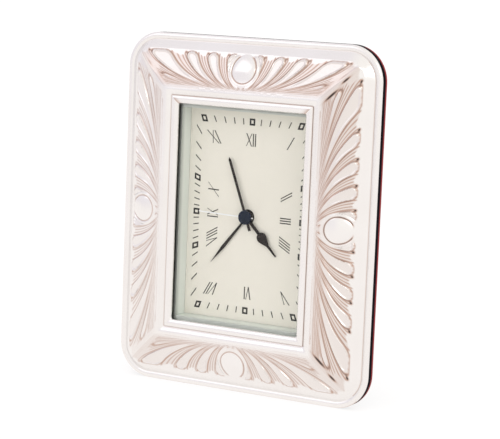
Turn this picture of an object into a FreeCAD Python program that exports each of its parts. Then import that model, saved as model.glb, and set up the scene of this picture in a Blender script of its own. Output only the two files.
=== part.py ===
import FreeCAD, Part
import math
import os

# Photo frame clock: an embossed silver frame on a lacquered board, with a
# quartz alarm clock set in the window and a hinged strut behind.
# Everything is modelled in the panel's own frame: X right, Y up, Z towards the
# viewer, with the middle of the window at zero and the lip's face at Z zero.
# stand() then raises the panel and leans it back onto its foot and strut.
# Lengths are in millimetres and angles in degrees.

# Frame and moulding
FRAME_WIDTH = 120.0
FRAME_HEIGHT = 150.0
FRAME_CORNER = 15.0
WINDOW_WIDTH = 60.0
WINDOW_HEIGHT = 92.0
WINDOW_CORNER = 0.6
LEAN = 5.0
SILVER_SHEET = 0.5
LIP_HEIGHT = 8.4
RIM_ROUND = 0.4
RIM_RISE = 0.8
RIM_TOP = 1.2
RIM_WIDTH = 2.8
CREASE_HEIGHT = 1.0
COVE_WIDTH = 3.5
LEAF_START_HEIGHT = 4.0
LEAF_START_CORNER = 7.5
LEAF_MIDDLE_SHARE = 0.45
LEAF_MIDDLE_HEIGHT = 7.3
LEAF_MIDDLE_CORNER = 3.0
RIDGE_FROM_WINDOW = 6.5
RIDGE_HEIGHT = 9.7
RIDGE_CORNER = 1.0
GROOVE_FROM_WINDOW = 3.5
GROOVE_HEIGHT = 8.8
BOSS_SHARE = 0.455
BOSS_RADIUS = 5.6
BOSS_DOME = 2.2
BOSS_CROWN = 1.5
LEAF_RISE = 0.8
LEAF_ROOT_RISE = 0.2
LEAF_BORDER_GAP = 0.4
LEAF_ROOT_GAP = 1.2
LEAF_MITRE_GAP = 1.8
LEAF_BOSS_GAP = 1.6
SIDE_LEAF_ENDS = [2.0, 10.6, 21.4, 32.2, 45.0, 61.5, 82.0]
TOP_LEAF_ENDS = [1.8, 10.2, 19.8, 29.8, 43.0, 58.5, 77.5]
LEAF_BLADE_SHARES = (0.24, 0.82)
LEAF_DEPTH_SHARES = (0.08, 0.3, 0.55, 0.75, 0.9)
LEAF_BEND_SHARE = 1.3

# Board, strut and their fittings
BOARD_THICKNESS = 4.4
BOARD_EDGE_ROUND = 0.8
HINGE_BELOW_TOP = 20.0
HINGE_STANDOFF = 2.4
HINGE_WIDTH = 36.0
HINGE_LEAF = 1.0
HINGE_LEAF_HEIGHT = 11.5
KNUCKLE_RADIUS = 2.2
KNUCKLE_COUNT = 5
KNUCKLE_GAP = 0.2
HINGE_PIN_RADIUS = 1.0
HINGE_PIN_OVERHANG = 0.5
HINGE_STOP_LENGTH = 4.6
STRUT_OPENING = 10.5
STRUT_THICKNESS = 4.0
STRUT_TOP_GAP = 3.0
STRUT_RAIL = 12.0
STRUT_FOOT_WIDTH = 52.0
STRUT_CORNER = 6.0
STRUT_WINDOW_SIDE_GAP = 2.0
STRUT_WINDOW_TOP_GAP = 3.0
STRUT_WINDOW_BOTTOM_GAP = 4.0
STRUT_WINDOW_CORNER = 3.0
WOOD_SCREW_RADIUS = 1.1
WOOD_SCREW_LENGTH = 3.0
WOOD_SCREW_HEAD_RADIUS = 2.2
WOOD_SCREW_HEAD = 0.9
WOOD_SCREW_SPACING = 20.0
CLIP_LENGTH = 17.0
CLIP_WIDTH = 7.0
CLIP_THICKNESS = 0.8
CLIP_OVERLAP = 1.6
CLIP_UP_SHIFT = 34.0
CLIP_SCREW_RADIUS = 1.5
CLIP_SCREW_HEAD_RADIUS = 2.8
CLIP_SCREW_HEAD = 1.1

# Clearances
SLIDE_GAP = 0.05
RUN_GAP = 0.06
SEAT_GAP = 0.3
OVERRUN = 5.0

# Glass and the clock's tray
GLASS_DEPTH = 0.7
GLASS_THICKNESS = 2.0
GLASS_SEAT = 2.0
GLASS_GAP = 0.15
TRAY_RIM = 1.05
VIEW_SIDE_INSET = 0.8
VIEW_END_INSET = 1.4
DIAL_DEPTH = 9.9
DIAL_THICKNESS = 0.5
DIAL_EDGE_GAP = 0.1
TRAY_FLOOR = 1.6
TRAY_REAR_RIM = 1.2

# Dial print
PRINT_THICKNESS = 0.06
HOURS = 12
MINUTES = 60
SQUARE_COLUMN = 25.4
SQUARE_ROW = 40.0
SQUARE_ALONG = 2.6
SQUARE_ACROSS = 2.9
SQUARE_LINE = 0.75
SQUARE_SLANT_SHARE = 0.62
TICK_BAND = 2.6
TICK_WIDTH = 0.4
NUMERAL_COLUMN_INNER = 14.9
NUMERAL_COLUMN_OUTER = 20.0
NUMERAL_ROW_INNER = 29.8
NUMERAL_ROW_OUTER = 35.1
NUMERAL_ROW_CENTRES = {11: -18.0, 0: -0.2, 1: 18.4, 5: 18.2, 6: 0.7, 7: -16.9}
THICK_STROKE = 0.44
THIN_STROKE = 0.26
STROKE_PITCH = 1.02
SERIF_HEIGHT = 0.14
SERIF_REACH = 0.09
PRINT_SHIFT = 0.5

# Hands and their angles clockwise from twelve
MINUTE_ANGLE = 339.7
HOUR_ANGLE = 136.2
ALARM_ANGLE = 218.5
SECOND_ANGLE = 271.4
MINUTE_LENGTH = 26.2
MINUTE_TAIL = 6.0
MINUTE_WIDTH = 1.15
MINUTE_POINT = 1.2
HOUR_LENGTH = 21.2
HOUR_STEM_WIDTH = 1.3
HOUR_LOBE_CENTRE = 11.1
HOUR_LOBE_RADIUS = 2.3
HOUR_SHOULDER = 4.3
HOUR_SHOULDER_WIDTH = 1.15
HOUR_TIP_WIDTH = 0.6
ALARM_LENGTH = 26.8
ALARM_ROOT_WIDTH = 0.7
ALARM_WIDEST = 17.4
ALARM_WIDTH = 1.4
SECOND_LENGTH = 22.4
SECOND_WIDTH = 0.5
SECOND_TAIL = 3.6
HAND_THICKNESS = 0.25
HAND_LIFT = 0.5
HAND_STEP = 0.5
ALARM_HUB_RADIUS = 2.8
HOUR_HUB_RADIUS = 2.5
MINUTE_HUB_RADIUS = 2.2
SECOND_HUB_RADIUS = 1.9
CAP_RADIUS = 3.0
CAP_THICKNESS = 0.7
CAP_ROUND = 0.25

# Tubes that carry the hands, one inside the next
ALARM_TUBE_RADIUS = 2.3
HOUR_TUBE_RADIUS = 1.7
CANNON_RADIUS = 1.15
SECOND_ARBOR_RADIUS = 0.5

# Movement case
CASE_WIDTH = 56.0
CASE_DEPTH = 18.0
CASE_CORNER = 3.0
CASE_WALL = 1.4
CASE_SPLIT = 8.0
EAR_REACH = 3.0
EAR_LENGTH = 6.4
EAR_UP_SHIFT = 17.0
EAR_DOWN_SHIFT = 11.0
EAR_THICKNESS = 1.6
CASE_SCREW_RADIUS = 0.8
CASE_SCREW_LENGTH = 1.3
CASE_SCREW_HEAD_RADIUS = 1.3
CASE_SCREW_HEAD = 0.8
BEARING_RADIUS = 3.2
BRIDGE_DEPTH = 10.2
BRIDGE_THICKNESS = 1.2
BRIDGE_POST_RADIUS = 1.4
BRIDGE_POST_SHARES = [(-0.5075, 0.3684), (-0.4737, -0.3647), (0.6917, 0.0564)]
BRIDGE_SCREW_RADIUS = 0.6
BRIDGE_SCREW_LENGTH = 2.5
BRIDGE_SCREW_HEAD_RADIUS = 1.2
BRIDGE_SCREW_HEAD = 0.7

# Wheels: teeth, modules and where each arbor stands
ARBOR_RADIUS = 0.5
PIVOT_DEPTH = 0.8
PIVOT_END_GAP = 0.1
PRESSURE_ANGLE = 20.0
TOOTH_SHARE = 0.45
ADDENDUM_SHARE = 0.78
DEDENDUM_SHARE = 1.2
FLANK_STEPS = 3
ALARM_WHEEL_TEETH = 48
ALARM_KNOB_TEETH = 12
ALARM_MODULE = 0.3
CANNON_TEETH = 12
MOTION_TEETH = 36
MOTION_PINION_TEETH = 10
HOUR_TEETH = 40
MOTION_MODULE = 0.35
TIME_KNOB_TEETH = 12
CENTRE_TEETH = 64
THIRD_PINION_TEETH = 8
THIRD_TEETH = 60
SECOND_PINION_TEETH = 8
CENTRE_MODULE = 0.225
SECOND_TEETH = 60
INTERMEDIATE_PINION_TEETH = 10
SECOND_MODULE = 0.24
INTERMEDIATE_TEETH = 40
ROTOR_PINION_TEETH = 8
ROTOR_MODULE = 0.22
MOTION_DIRECTION = 20.0
THIRD_DIRECTION = 180.0
INTERMEDIATE_DIRECTION = 310.0
ROTOR_DIRECTION = 0.0
TIME_KNOB_DIRECTION = 60.0
ALARM_KNOB_DIRECTION = 110.0
WHEEL_THICKNESS = 0.8
PINION_THICKNESS = 1.2
ALARM_LAYER = 0.3
HOUR_LAYER = 1.8
MOTION_LAYER = 3.3
CENTRE_LAYER = 5.0
THIRD_LAYER = 6.4
SECOND_LAYER = 7.6
INTERMEDIATE_LAYER = 8.9
MAGNET_RADIUS = 2.6
MAGNET_LENGTH = 3.0
MAGNET_LAYER = 4.7

# Motor, circuit and sounder
STATOR_LAYER = 5.4
STATOR_THICKNESS = 1.0
STATOR_GAP = 0.6
STATOR_RING_WIDTH = 1.2
STATOR_BAR = 2.6
COIL_RADIUS = 3.0
COIL_LENGTH = 11.0
COIL_X = 23.3
COIL_Y = -1.3
STATOR_POST_RADIUS = 1.0
BOARD_POST_RADIUS = 1.2
CIRCUIT_WIDTH = 21.0
CIRCUIT_HEIGHT = 10.5
CIRCUIT_THICKNESS = 1.0
CIRCUIT_X = 14.5
CIRCUIT_Y = 20.3
CIRCUIT_LAYER = 4.0
CRYSTAL_RADIUS = 1.0
CRYSTAL_LENGTH = 6.0
CHIP_RADIUS = 2.6
CHIP_HEIGHT = 1.1
SOUNDER_RADIUS = 8.6
SOUNDER_THICKNESS = 0.5
SOUNDER_SEAT = 0.8
SOUNDER_SEAT_WIDTH = 1.0
SOUNDER_X = -16.2
SOUNDER_Y = 16.6
SOUND_HOLE_RADIUS = 0.8
SOUND_HOLE_RING = 3.6
SOUND_HOLE_COUNT = 6

# Battery and its door
CELL_RADIUS = 7.1
CELL_LENGTH = 49.2
CELL_NUB_RADIUS = 2.7
CELL_NUB = 1.3
CELL_Y = -19.2
CONTACT_THICKNESS = 0.4
CONTACT_WIDTH = 9.0
CONTACT_HEIGHT = 9.0
CONTACT_SPRING_RADIUS = 3.0
DOOR_WIDTH = 49.0
DOOR_TOP = -11.9
DOOR_THICKNESS = 1.2
DOOR_TONGUE = 0.8
DOOR_TONGUE_THICKNESS = 0.5
DOOR_GRIP_COUNT = 4
DOOR_GRIP_PITCH = 1.8
DOOR_GRIP_WIDTH = 0.8
DOOR_GRIP_HEIGHT = 0.5
DOOR_GRIP_LENGTH = 16.0

# Knobs and switch
KNOB_RADIUS = 5.0
KNOB_HEIGHT = 4.0
KNOB_GAP = 0.4
KNOB_SHAFT_RADIUS = 1.2
KNOB_FLUTES = 20
KNOB_FLUTE_RADIUS = 0.45
SWITCH_X = 19.0
SWITCH_Y = 20.0
SWITCH_TRAVEL = 3.5
SWITCH_KNOB_WIDTH = 3.2
SWITCH_KNOB_HEIGHT = 2.6
SWITCH_PLATE_WIDTH = 7.0
SWITCH_PLATE_HEIGHT = 5.0
SWITCH_PLATE_THICKNESS = 0.7
SWITCH_RISE = 1.4

# Derived places
HALF_WIDTH = FRAME_WIDTH / 2
HALF_HEIGHT = FRAME_HEIGHT / 2
WINDOW_HALF_WIDTH = WINDOW_WIDTH / 2
WINDOW_HALF_HEIGHT = WINDOW_HEIGHT / 2
VIEW_HALF_WIDTH = WINDOW_HALF_WIDTH - VIEW_SIDE_INSET
VIEW_HALF_HEIGHT = WINDOW_HALF_HEIGHT - VIEW_END_INSET
EDGE_Z = -LIP_HEIGHT
BOARD_REAR_Z = EDGE_Z - BOARD_THICKNESS
BOARD_MIDDLE_Z = EDGE_Z - BOARD_THICKNESS / 2
GLASS_FRONT_Z = -GLASS_DEPTH
GLASS_REAR_Z = GLASS_FRONT_Z - GLASS_THICKNESS
GLASS_HALF_WIDTH = WINDOW_HALF_WIDTH + GLASS_SEAT
GLASS_HALF_HEIGHT = WINDOW_HALF_HEIGHT + GLASS_SEAT
TRAY_HALF_WIDTH = GLASS_HALF_WIDTH + GLASS_GAP + TRAY_RIM
TRAY_HALF_HEIGHT = GLASS_HALF_HEIGHT + GLASS_GAP + TRAY_RIM
POCKET_HALF_WIDTH = TRAY_HALF_WIDTH + SEAT_GAP
POCKET_HALF_HEIGHT = TRAY_HALF_HEIGHT + SEAT_GAP
DIAL_Z = -DIAL_DEPTH
FLOOR_FRONT_Z = DIAL_Z - DIAL_THICKNESS
FLOOR_REAR_Z = FLOOR_FRONT_Z - TRAY_FLOOR
CASE_FRONT_Z = FLOOR_REAR_Z
CASE_FLOOR_Z = CASE_FRONT_Z - CASE_WALL
CASE_SPLIT_Z = CASE_FRONT_Z - CASE_SPLIT
CASE_REAR_Z = CASE_FRONT_Z - CASE_DEPTH
CASE_CEILING_Z = CASE_REAR_Z + CASE_WALL
CASE_HALF = CASE_WIDTH / 2
CASE_INNER_HALF = CASE_HALF - CASE_WALL
BRIDGE_FRONT_Z = CASE_FLOOR_Z - BRIDGE_DEPTH
BRIDGE_REAR_Z = BRIDGE_FRONT_Z - BRIDGE_THICKNESS
HINGE_Y = HALF_HEIGHT - HINGE_BELOW_TOP
HINGE_Z = BOARD_REAR_Z - HINGE_STANDOFF
STRUT_FRONT_Z = HINGE_Z - HINGE_LEAF / 2
STRUT_REAR_Z = STRUT_FRONT_Z - STRUT_THICKNESS
STRUT_WINDOW_HALF_WIDTH = CASE_HALF + STRUT_WINDOW_SIDE_GAP
STRUT_WINDOW_TOP = CASE_HALF + STRUT_WINDOW_TOP_GAP
STRUT_WINDOW_BOTTOM = -CASE_HALF - STRUT_WINDOW_BOTTOM_GAP
STRUT_HALF_WIDTH = STRUT_WINDOW_HALF_WIDTH + STRUT_RAIL
CELL_Z = CASE_FLOOR_Z - SEAT_GAP - CELL_RADIUS
DOOR_OUTER_Z = CASE_REAR_Z
DOOR_INNER_Z = DOOR_OUTER_Z + DOOR_THICKNESS

Vector = FreeCAD.Vector
UP = Vector(0, 0, 1)
QUARTER_TURN = 90
HALF_TURN = 180
FULL_TURN = 360
# Keeps a sine or cosine of zero out of a division
TINY = 1e-9


def half(length):
    return length / 2


def box(x_low, x_high, y_low, y_high, z_low, z_high):
    corner = Vector(x_low, y_low, z_low)
    return Part.makeBox(x_high - x_low, y_high - y_low, z_high - z_low, corner)


def drum(x, y, z_low, z_high, radius):
    return Part.makeCylinder(radius, z_high - z_low, Vector(x, y, z_low))


def rounded_outline(half_width, half_height, corner, z, x=0, y=0):
    # A rectangle with four quarter-circle corners, as a closed wire.
    right = x + half_width
    left = x - half_width
    top = y + half_height
    bottom = y - half_height
    slant = corner * (1 - math.sqrt(half(1)))
    edges = []
    corners = [
        (right, top, -1, -1),
        (left, top, 1, -1),
        (left, bottom, 1, 1),
        (right, bottom, -1, 1),
    ]
    ends = []
    for corner_x, corner_y, to_x, to_y in corners:
        along_x = Vector(corner_x + to_x * corner, corner_y, z)
        along_y = Vector(corner_x, corner_y + to_y * corner, z)
        middle = Vector(corner_x + to_x * slant, corner_y + to_y * slant, z)
        if to_x * to_y > 0:
            ends.append((along_y, middle, along_x))
        else:
            ends.append((along_x, middle, along_y))
    for index, arc in enumerate(ends):
        following = ends[(index + 1) % len(ends)]
        edges.append(Part.Arc(*arc).toShape())
        edges.append(Part.LineSegment(arc[2], following[0]).toShape())
    return Part.Wire(edges)


def slab(half_width, half_height, corner, z_low, z_high, x=0, y=0):
    face = Part.Face(rounded_outline(half_width, half_height, corner, z_low, x, y))
    return face.extrude(Vector(0, 0, z_high - z_low))


def flat_shape(points, z_low, z_high):
    corners = [Vector(x, y, z_low) for x, y in points]
    face = Part.Face(Part.makePolygon(corners + corners[:1]))
    return face.extrude(Vector(0, 0, z_high - z_low))


def turned(shape, degrees, x=0, y=0):
    moved = shape.copy()
    moved.rotate(Vector(x, y, 0), UP, degrees)
    return moved


def clock_hand(shape, angle):
    return turned(shape, -angle)


def panel_placement():
    # Raise the panel, set its foot at height zero and lean it back.
    raised = FreeCAD.Placement(Vector(0, 0, 0), FreeCAD.Rotation(Vector(1, 0, 0), 90))
    seated = FreeCAD.Placement(Vector(0, BOARD_MIDDLE_Z, HALF_HEIGHT), FreeCAD.Rotation())
    pivot = Vector(0, -half(BOARD_THICKNESS), 0)
    leaning = FreeCAD.Rotation(Vector(1, 0, 0), -LEAN)
    shift = pivot - leaning.multVec(pivot)
    leant = FreeCAD.Placement(shift, leaning)
    return leant.multiply(seated).multiply(raised)


def strut_placement():
    # The strut is modelled folded against the board and swings out about its pin.
    pin = Vector(0, HINGE_Y, HINGE_Z)
    return FreeCAD.Placement(Vector(0, 0, 0), FreeCAD.Rotation(Vector(1, 0, 0), STRUT_OPENING), pin)


PANEL = panel_placement()
STRUT = PANEL.multiply(strut_placement())


def stand(shape, placement=PANEL):
    moved = shape.copy()
    moved.Placement = placement.multiply(moved.Placement)
    return moved


def above_table(shape):
    # Planed flat where it meets the table.
    size = FRAME_WIDTH + FRAME_HEIGHT
    below = Part.makeBox(size, size, size, Vector(-half(size), -half(size), -size))
    return shape.cut(below)


# The silver front and the core that fills it

def moulding_levels(band):
    # Inset from the outer edge, height above the edge plane, and corner radius,
    # across a side of the frame that is one band wide from edge to window.
    leaf_start = RIM_WIDTH + COVE_WIDTH
    ridge = band - RIDGE_FROM_WINDOW
    leaf_middle = leaf_start + (ridge - leaf_start) * LEAF_MIDDLE_SHARE
    return [
        (0, 0, FRAME_CORNER),
        (RIM_ROUND, RIM_RISE, FRAME_CORNER - RIM_ROUND),
        (half(RIM_WIDTH), RIM_TOP, FRAME_CORNER - half(RIM_WIDTH)),
        (RIM_WIDTH, CREASE_HEIGHT, FRAME_CORNER - RIM_WIDTH),
        (leaf_start, LEAF_START_HEIGHT, LEAF_START_CORNER),
        (leaf_middle, LEAF_MIDDLE_HEIGHT, LEAF_MIDDLE_CORNER),
        (ridge, RIDGE_HEIGHT, RIDGE_CORNER),
        (band - GROOVE_FROM_WINDOW, GROOVE_HEIGHT, WINDOW_CORNER),
        (band, LIP_HEIGHT, WINDOW_CORNER),
    ]


def core_levels(band):
    # The same moulding one sheet thickness further in.
    levels = [(SILVER_SHEET, 0, FRAME_CORNER - SILVER_SHEET)]
    for inset, height, corner in moulding_levels(band)[1:-1]:
        levels.append((inset + SILVER_SHEET, height - SILVER_SHEET, corner))
    levels.append((band, LIP_HEIGHT - SILVER_SHEET, WINDOW_CORNER))
    return levels


def moulding_block(levels):
    # The sides and the ends differ a little in width, so each has its own levels.
    side_levels = levels(HALF_WIDTH - WINDOW_HALF_WIDTH)
    end_levels = levels(HALF_HEIGHT - WINDOW_HALF_HEIGHT)
    wires = []
    for (side_inset, height, corner), (end_inset, _, _) in zip(side_levels, end_levels):
        half_width = HALF_WIDTH - side_inset
        half_height = HALF_HEIGHT - end_inset
        wires.append(rounded_outline(half_width, half_height, corner, EDGE_Z + height))
    return Part.makeLoft(wires, True, True)


def boss_places():
    side = HALF_WIDTH - BOSS_SHARE * (HALF_WIDTH - WINDOW_HALF_WIDTH)
    end = HALF_HEIGHT - BOSS_SHARE * (HALF_HEIGHT - WINDOW_HALF_HEIGHT)
    return [(side, 0), (0, end), (-side, 0), (0, -end)]


def boss_domes():
    # Four shallow domes, sunk in the middle of each side's leafwork.
    sphere_radius = half(BOSS_RADIUS * BOSS_RADIUS / BOSS_DOME + BOSS_DOME)
    crown_z = EDGE_Z + LEAF_MIDDLE_HEIGHT + BOSS_CROWN
    root_z = EDGE_Z + LEAF_START_HEIGHT
    domes = []
    for x, y in boss_places():
        ball = Part.makeSphere(sphere_radius, Vector(x, y, crown_z - sphere_radius))
        domes.append(ball.common(drum(x, y, root_z, crown_z + BOSS_DOME, BOSS_RADIUS)))
    return domes


def leaf_levels(band):
    # The moulding, higher by a leaf's thickness in the zone of the leaves.
    rises = (0, 0, 0, 0, LEAF_RISE, LEAF_RISE, LEAF_ROOT_RISE, 0, 0)
    levels = moulding_levels(band)
    return [(inset, height + rise, corner) for (inset, height, corner), rise in zip(levels, rises)]


def leaf_outline(start, stop, border, root):
    # Both edges of a leaf turn from the root line under the boss out to the border.
    near_share, far_share = LEAF_BLADE_SHARES
    near = start + (stop - start) * near_share
    far = start + (stop - start) * far_share
    near_edge = []
    far_edge = []
    for depth in LEAF_DEPTH_SHARES:
        inset = border + (root - border) * depth
        drawn_in = math.sqrt(1 - depth ** LEAF_BEND_SHARE)
        near_edge.append((near * drawn_in, inset))
        far_edge.append((far * drawn_in, inset))
    return [(half(near + far), border)] + far_edge + near_edge[::-1]


def leaf_prisms(half_length, window_half_length, half_across, window_half_across, ends):
    # The leaves of the side at +x, which runs along y, kept clear of its two mitres.
    band = half_across - window_half_across
    border = RIM_WIDTH + COVE_WIDTH + LEAF_BORDER_GAP
    root = band - RIDGE_FROM_WINDOW - LEAF_ROOT_GAP
    mitre = (half_length - window_half_length) / band
    gap = LEAF_MITRE_GAP * math.hypot(1, mitre)
    border_reach = half_length - border * mitre - gap
    root_reach = half_length - root * mitre - gap
    z_low = EDGE_Z + CREASE_HEIGHT
    z_high = z_low + RIDGE_HEIGHT + LEAF_RISE
    corners = [
        (half_across - border, -border_reach),
        (half_across - border, border_reach),
        (half_across - root, root_reach),
        (half_across - root, -root_reach),
    ]
    field = flat_shape(corners, z_low, z_high)
    prisms = []
    for start, stop in zip(ends, ends[1:]):
        outline = leaf_outline(start, stop, border, root)
        for hand in (1, -1):
            points = [(half_across - inset, hand * along) for along, inset in outline]
            prisms.extend(flat_shape(points, z_low, z_high).common(field).Solids)
    return prisms


def make_leaves():
    # One sheet of leaves, raised over the moulding and parted round the bosses.
    sides = leaf_prisms(
        HALF_HEIGHT, WINDOW_HALF_HEIGHT, HALF_WIDTH, WINDOW_HALF_WIDTH, SIDE_LEAF_ENDS
    )
    tops = leaf_prisms(
        HALF_WIDTH, WINDOW_HALF_WIDTH, HALF_HEIGHT, WINDOW_HALF_HEIGHT, TOP_LEAF_ENDS
    )
    prisms = []
    for turn in (0, HALF_TURN):
        prisms.extend(turned(prism, turn) for prism in sides)
        prisms.extend(turned(prism, turn + QUARTER_TURN) for prism in tops)
    parting = BOSS_RADIUS + LEAF_BOSS_GAP
    z_high = EDGE_Z + RIDGE_HEIGHT + OVERRUN
    bosses = [drum(x, y, EDGE_Z, z_high, parting) for x, y in boss_places()]
    return Part.makeCompound(prisms).cut(bosses).common(moulding_block(leaf_levels)).Solids


def window_prism(grow=0):
    return slab(
        WINDOW_HALF_WIDTH + grow,
        WINDOW_HALF_HEIGHT + grow,
        WINDOW_CORNER + grow,
        EDGE_Z - OVERRUN,
        OVERRUN,
    )


def make_core_block():
    return moulding_block(core_levels)


def make_silver_front():
    solid = moulding_block(moulding_levels)
    solid = solid.fuse(make_leaves() + boss_domes())
    fold = slab(
        WINDOW_HALF_WIDTH + SILVER_SHEET,
        WINDOW_HALF_HEIGHT + SILVER_SHEET,
        WINDOW_CORNER + SILVER_SHEET,
        GLASS_FRONT_Z + SLIDE_GAP,
        -half(SILVER_SHEET),
    )
    shell = solid.cut(make_core_block())
    return shell.fuse(fold).cut(window_prism()).removeSplitter()


def make_frame_core():
    pocket = slab(POCKET_HALF_WIDTH, POCKET_HALF_HEIGHT, SILVER_SHEET, EDGE_Z - OVERRUN, OVERRUN)
    return make_core_block().cut(pocket)


# The board behind the frame

def clip_places():
    x = POCKET_HALF_WIDTH - CLIP_OVERLAP + CLIP_LENGTH - CLIP_WIDTH
    return [(x, CLIP_UP_SHIFT), (-x, CLIP_UP_SHIFT), (-x, -CLIP_UP_SHIFT), (x, -CLIP_UP_SHIFT)]


def hinge_screw_y():
    return HINGE_Y + KNUCKLE_RADIUS + half(HINGE_LEAF_HEIGHT - KNUCKLE_RADIUS)


def make_back_board():
    board = slab(HALF_WIDTH, HALF_HEIGHT, FRAME_CORNER, BOARD_REAR_Z, EDGE_Z)
    rear_edges = [e for e in board.Edges if abs(e.BoundBox.ZMax - BOARD_REAR_Z) < SLIDE_GAP]
    board = board.makeFillet(BOARD_EDGE_ROUND, rear_edges)
    pocket = slab(
        POCKET_HALF_WIDTH, POCKET_HALF_HEIGHT, SILVER_SHEET, BOARD_REAR_Z - OVERRUN, OVERRUN
    )
    board = board.cut(pocket)
    for x, y in clip_places():
        board = board.cut(
            drum(x, y, BOARD_REAR_Z, BOARD_REAR_Z + WOOD_SCREW_LENGTH, CLIP_SCREW_RADIUS)
        )
    for side in (-1, 1):
        x = side * half(WOOD_SCREW_SPACING)
        hole = drum(
            x, hinge_screw_y(), BOARD_REAR_Z, BOARD_REAR_Z + WOOD_SCREW_LENGTH, WOOD_SCREW_RADIUS
        )
        board = board.cut(hole)
    return board


# The glass, the tray that holds the clock, and the dial

def make_window_glass():
    return slab(GLASS_HALF_WIDTH, GLASS_HALF_HEIGHT, GLASS_GAP, GLASS_REAR_Z, GLASS_FRONT_Z)


def ear_places():
    x = CASE_HALF + half(EAR_REACH) - GLASS_GAP
    return [(x, EAR_UP_SHIFT), (-x, EAR_UP_SHIFT), (-x, -EAR_DOWN_SHIFT), (x, -EAR_DOWN_SHIFT)]


def make_clock_tray():
    tray = slab(TRAY_HALF_WIDTH, TRAY_HALF_HEIGHT, SILVER_SHEET, BOARD_REAR_Z, GLASS_FRONT_Z)
    glass_seat = slab(
        GLASS_HALF_WIDTH + GLASS_GAP,
        GLASS_HALF_HEIGHT + GLASS_GAP,
        GLASS_GAP,
        GLASS_REAR_Z,
        OVERRUN,
    )
    view = box(
        -VIEW_HALF_WIDTH,
        VIEW_HALF_WIDTH,
        -VIEW_HALF_HEIGHT,
        VIEW_HALF_HEIGHT,
        FLOOR_FRONT_Z,
        OVERRUN,
    )
    rear = slab(
        TRAY_HALF_WIDTH - TRAY_REAR_RIM,
        TRAY_HALF_HEIGHT - TRAY_REAR_RIM,
        SILVER_SHEET,
        BOARD_REAR_Z - OVERRUN,
        FLOOR_REAR_Z,
    )
    hub_hole = drum(0, 0, FLOOR_REAR_Z - OVERRUN, OVERRUN, BEARING_RADIUS + SEAT_GAP)
    tray = tray.cut(glass_seat).cut(view).cut(rear).cut(hub_hole)
    for x, y in ear_places():
        tray = tray.cut(
            drum(x, y, FLOOR_REAR_Z, FLOOR_REAR_Z + CASE_SCREW_LENGTH, CASE_SCREW_RADIUS)
        )
    return tray


def make_dial_plate():
    plate = slab(
        VIEW_HALF_WIDTH - DIAL_EDGE_GAP,
        VIEW_HALF_HEIGHT - DIAL_EDGE_GAP,
        DIAL_EDGE_GAP,
        FLOOR_FRONT_Z,
        DIAL_Z,
    )
    return plate.cut(drum(0, 0, FLOOR_FRONT_Z - OVERRUN, OVERRUN, BEARING_RADIUS))


def minute_direction(minute):
    return 2 * math.pi * minute / MINUTES


def hour_direction(hour):
    return 2 * math.pi * hour / HOURS


def band_place(angle, column, row):
    # Where the ray at an angle clockwise from twelve meets a band, which way is outwards there,
    # which way the band runs, and how far the ray slips along it for each millimetre outwards.
    radial = Vector(math.sin(angle), math.cos(angle), 0)
    to_column = column / max(abs(radial.x), TINY)
    to_row = row / max(abs(radial.y), TINY)
    if to_row < to_column:
        out = Vector(0, math.copysign(1, radial.y), 0)
    else:
        out = Vector(math.copysign(1, radial.x), 0, 0)
    along = Vector(out.y, -out.x, 0)
    slip = radial.dot(along) / radial.dot(out)
    return radial * min(to_column, to_row), out, along, slip


def stroke_solid(outer_point, inner_point, along, width):
    # A bar whose two ends are cut along the band.
    reach = along * half(width)
    corners = [outer_point - reach, outer_point + reach, inner_point + reach, inner_point - reach]
    points = [(corner.x, corner.y) for corner in corners]
    return flat_shape(points, DIAL_Z, DIAL_Z + PRINT_THICKNESS)


def printed(marks):
    # The print lies a little off the middle of the dial
    print_layer = Part.makeCompound(marks)
    print_layer.translate(Vector(PRINT_SHIFT, 0, 0))
    return print_layer


def make_dial_squares():
    squares = []
    for hour in range(HOURS):
        centre, out, along, slip = band_place(hour_direction(hour), SQUARE_COLUMN, SQUARE_ROW)
        lean = out + along * (slip * SQUARE_SLANT_SHARE)
        reach = lean * half(SQUARE_ACROSS)
        inner_reach = lean * (half(SQUARE_ACROSS) - SQUARE_LINE)
        outline = stroke_solid(centre + reach, centre - reach, along, SQUARE_ALONG)
        hole_width = SQUARE_ALONG - 2 * SQUARE_LINE
        hole = stroke_solid(centre + inner_reach, centre - inner_reach, along, hole_width)
        squares.append(outline.cut(hole))
    return printed(squares)


def make_dial_ticks():
    ticks = []
    for minute in range(MINUTES):
        if minute % (MINUTES // HOURS) == 0:
            continue
        centre, out, along, slip = band_place(minute_direction(minute), SQUARE_COLUMN, SQUARE_ROW)
        reach = (out + along * slip) * half(TICK_BAND)
        width = TICK_WIDTH * math.hypot(1, slip)
        ticks.append(stroke_solid(centre + reach, centre - reach, along, width))
    return printed(ticks)


NUMERALS = ["XII", "I", "II", "III", "IIII", "V", "VI", "VII", "VIII", "IX", "X", "XI"]
LETTER_PITCHES = {"I": 1, "V": 2.5, "X": 2.9}


def numeral_strokes(text):
    # Each stroke: its place at the outer line, at the inner line, and its width.
    length = sum(LETTER_PITCHES[letter] for letter in text) * STROKE_PITCH
    at = -half(length)
    strokes = []
    for letter in text:
        width = LETTER_PITCHES[letter] * STROKE_PITCH
        middle = at + half(width)
        reach = half(width) - THIN_STROKE
        if letter == "I":
            strokes.append((middle, middle, THICK_STROKE))
        if letter == "V":
            strokes.append((middle - reach, middle, THICK_STROKE))
            strokes.append((middle + reach, middle, THIN_STROKE))
        if letter == "X":
            strokes.append((middle - reach, middle + reach, THICK_STROKE))
            strokes.append((middle + reach, middle - reach, THIN_STROKE))
        at = at + width
    return strokes


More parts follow.
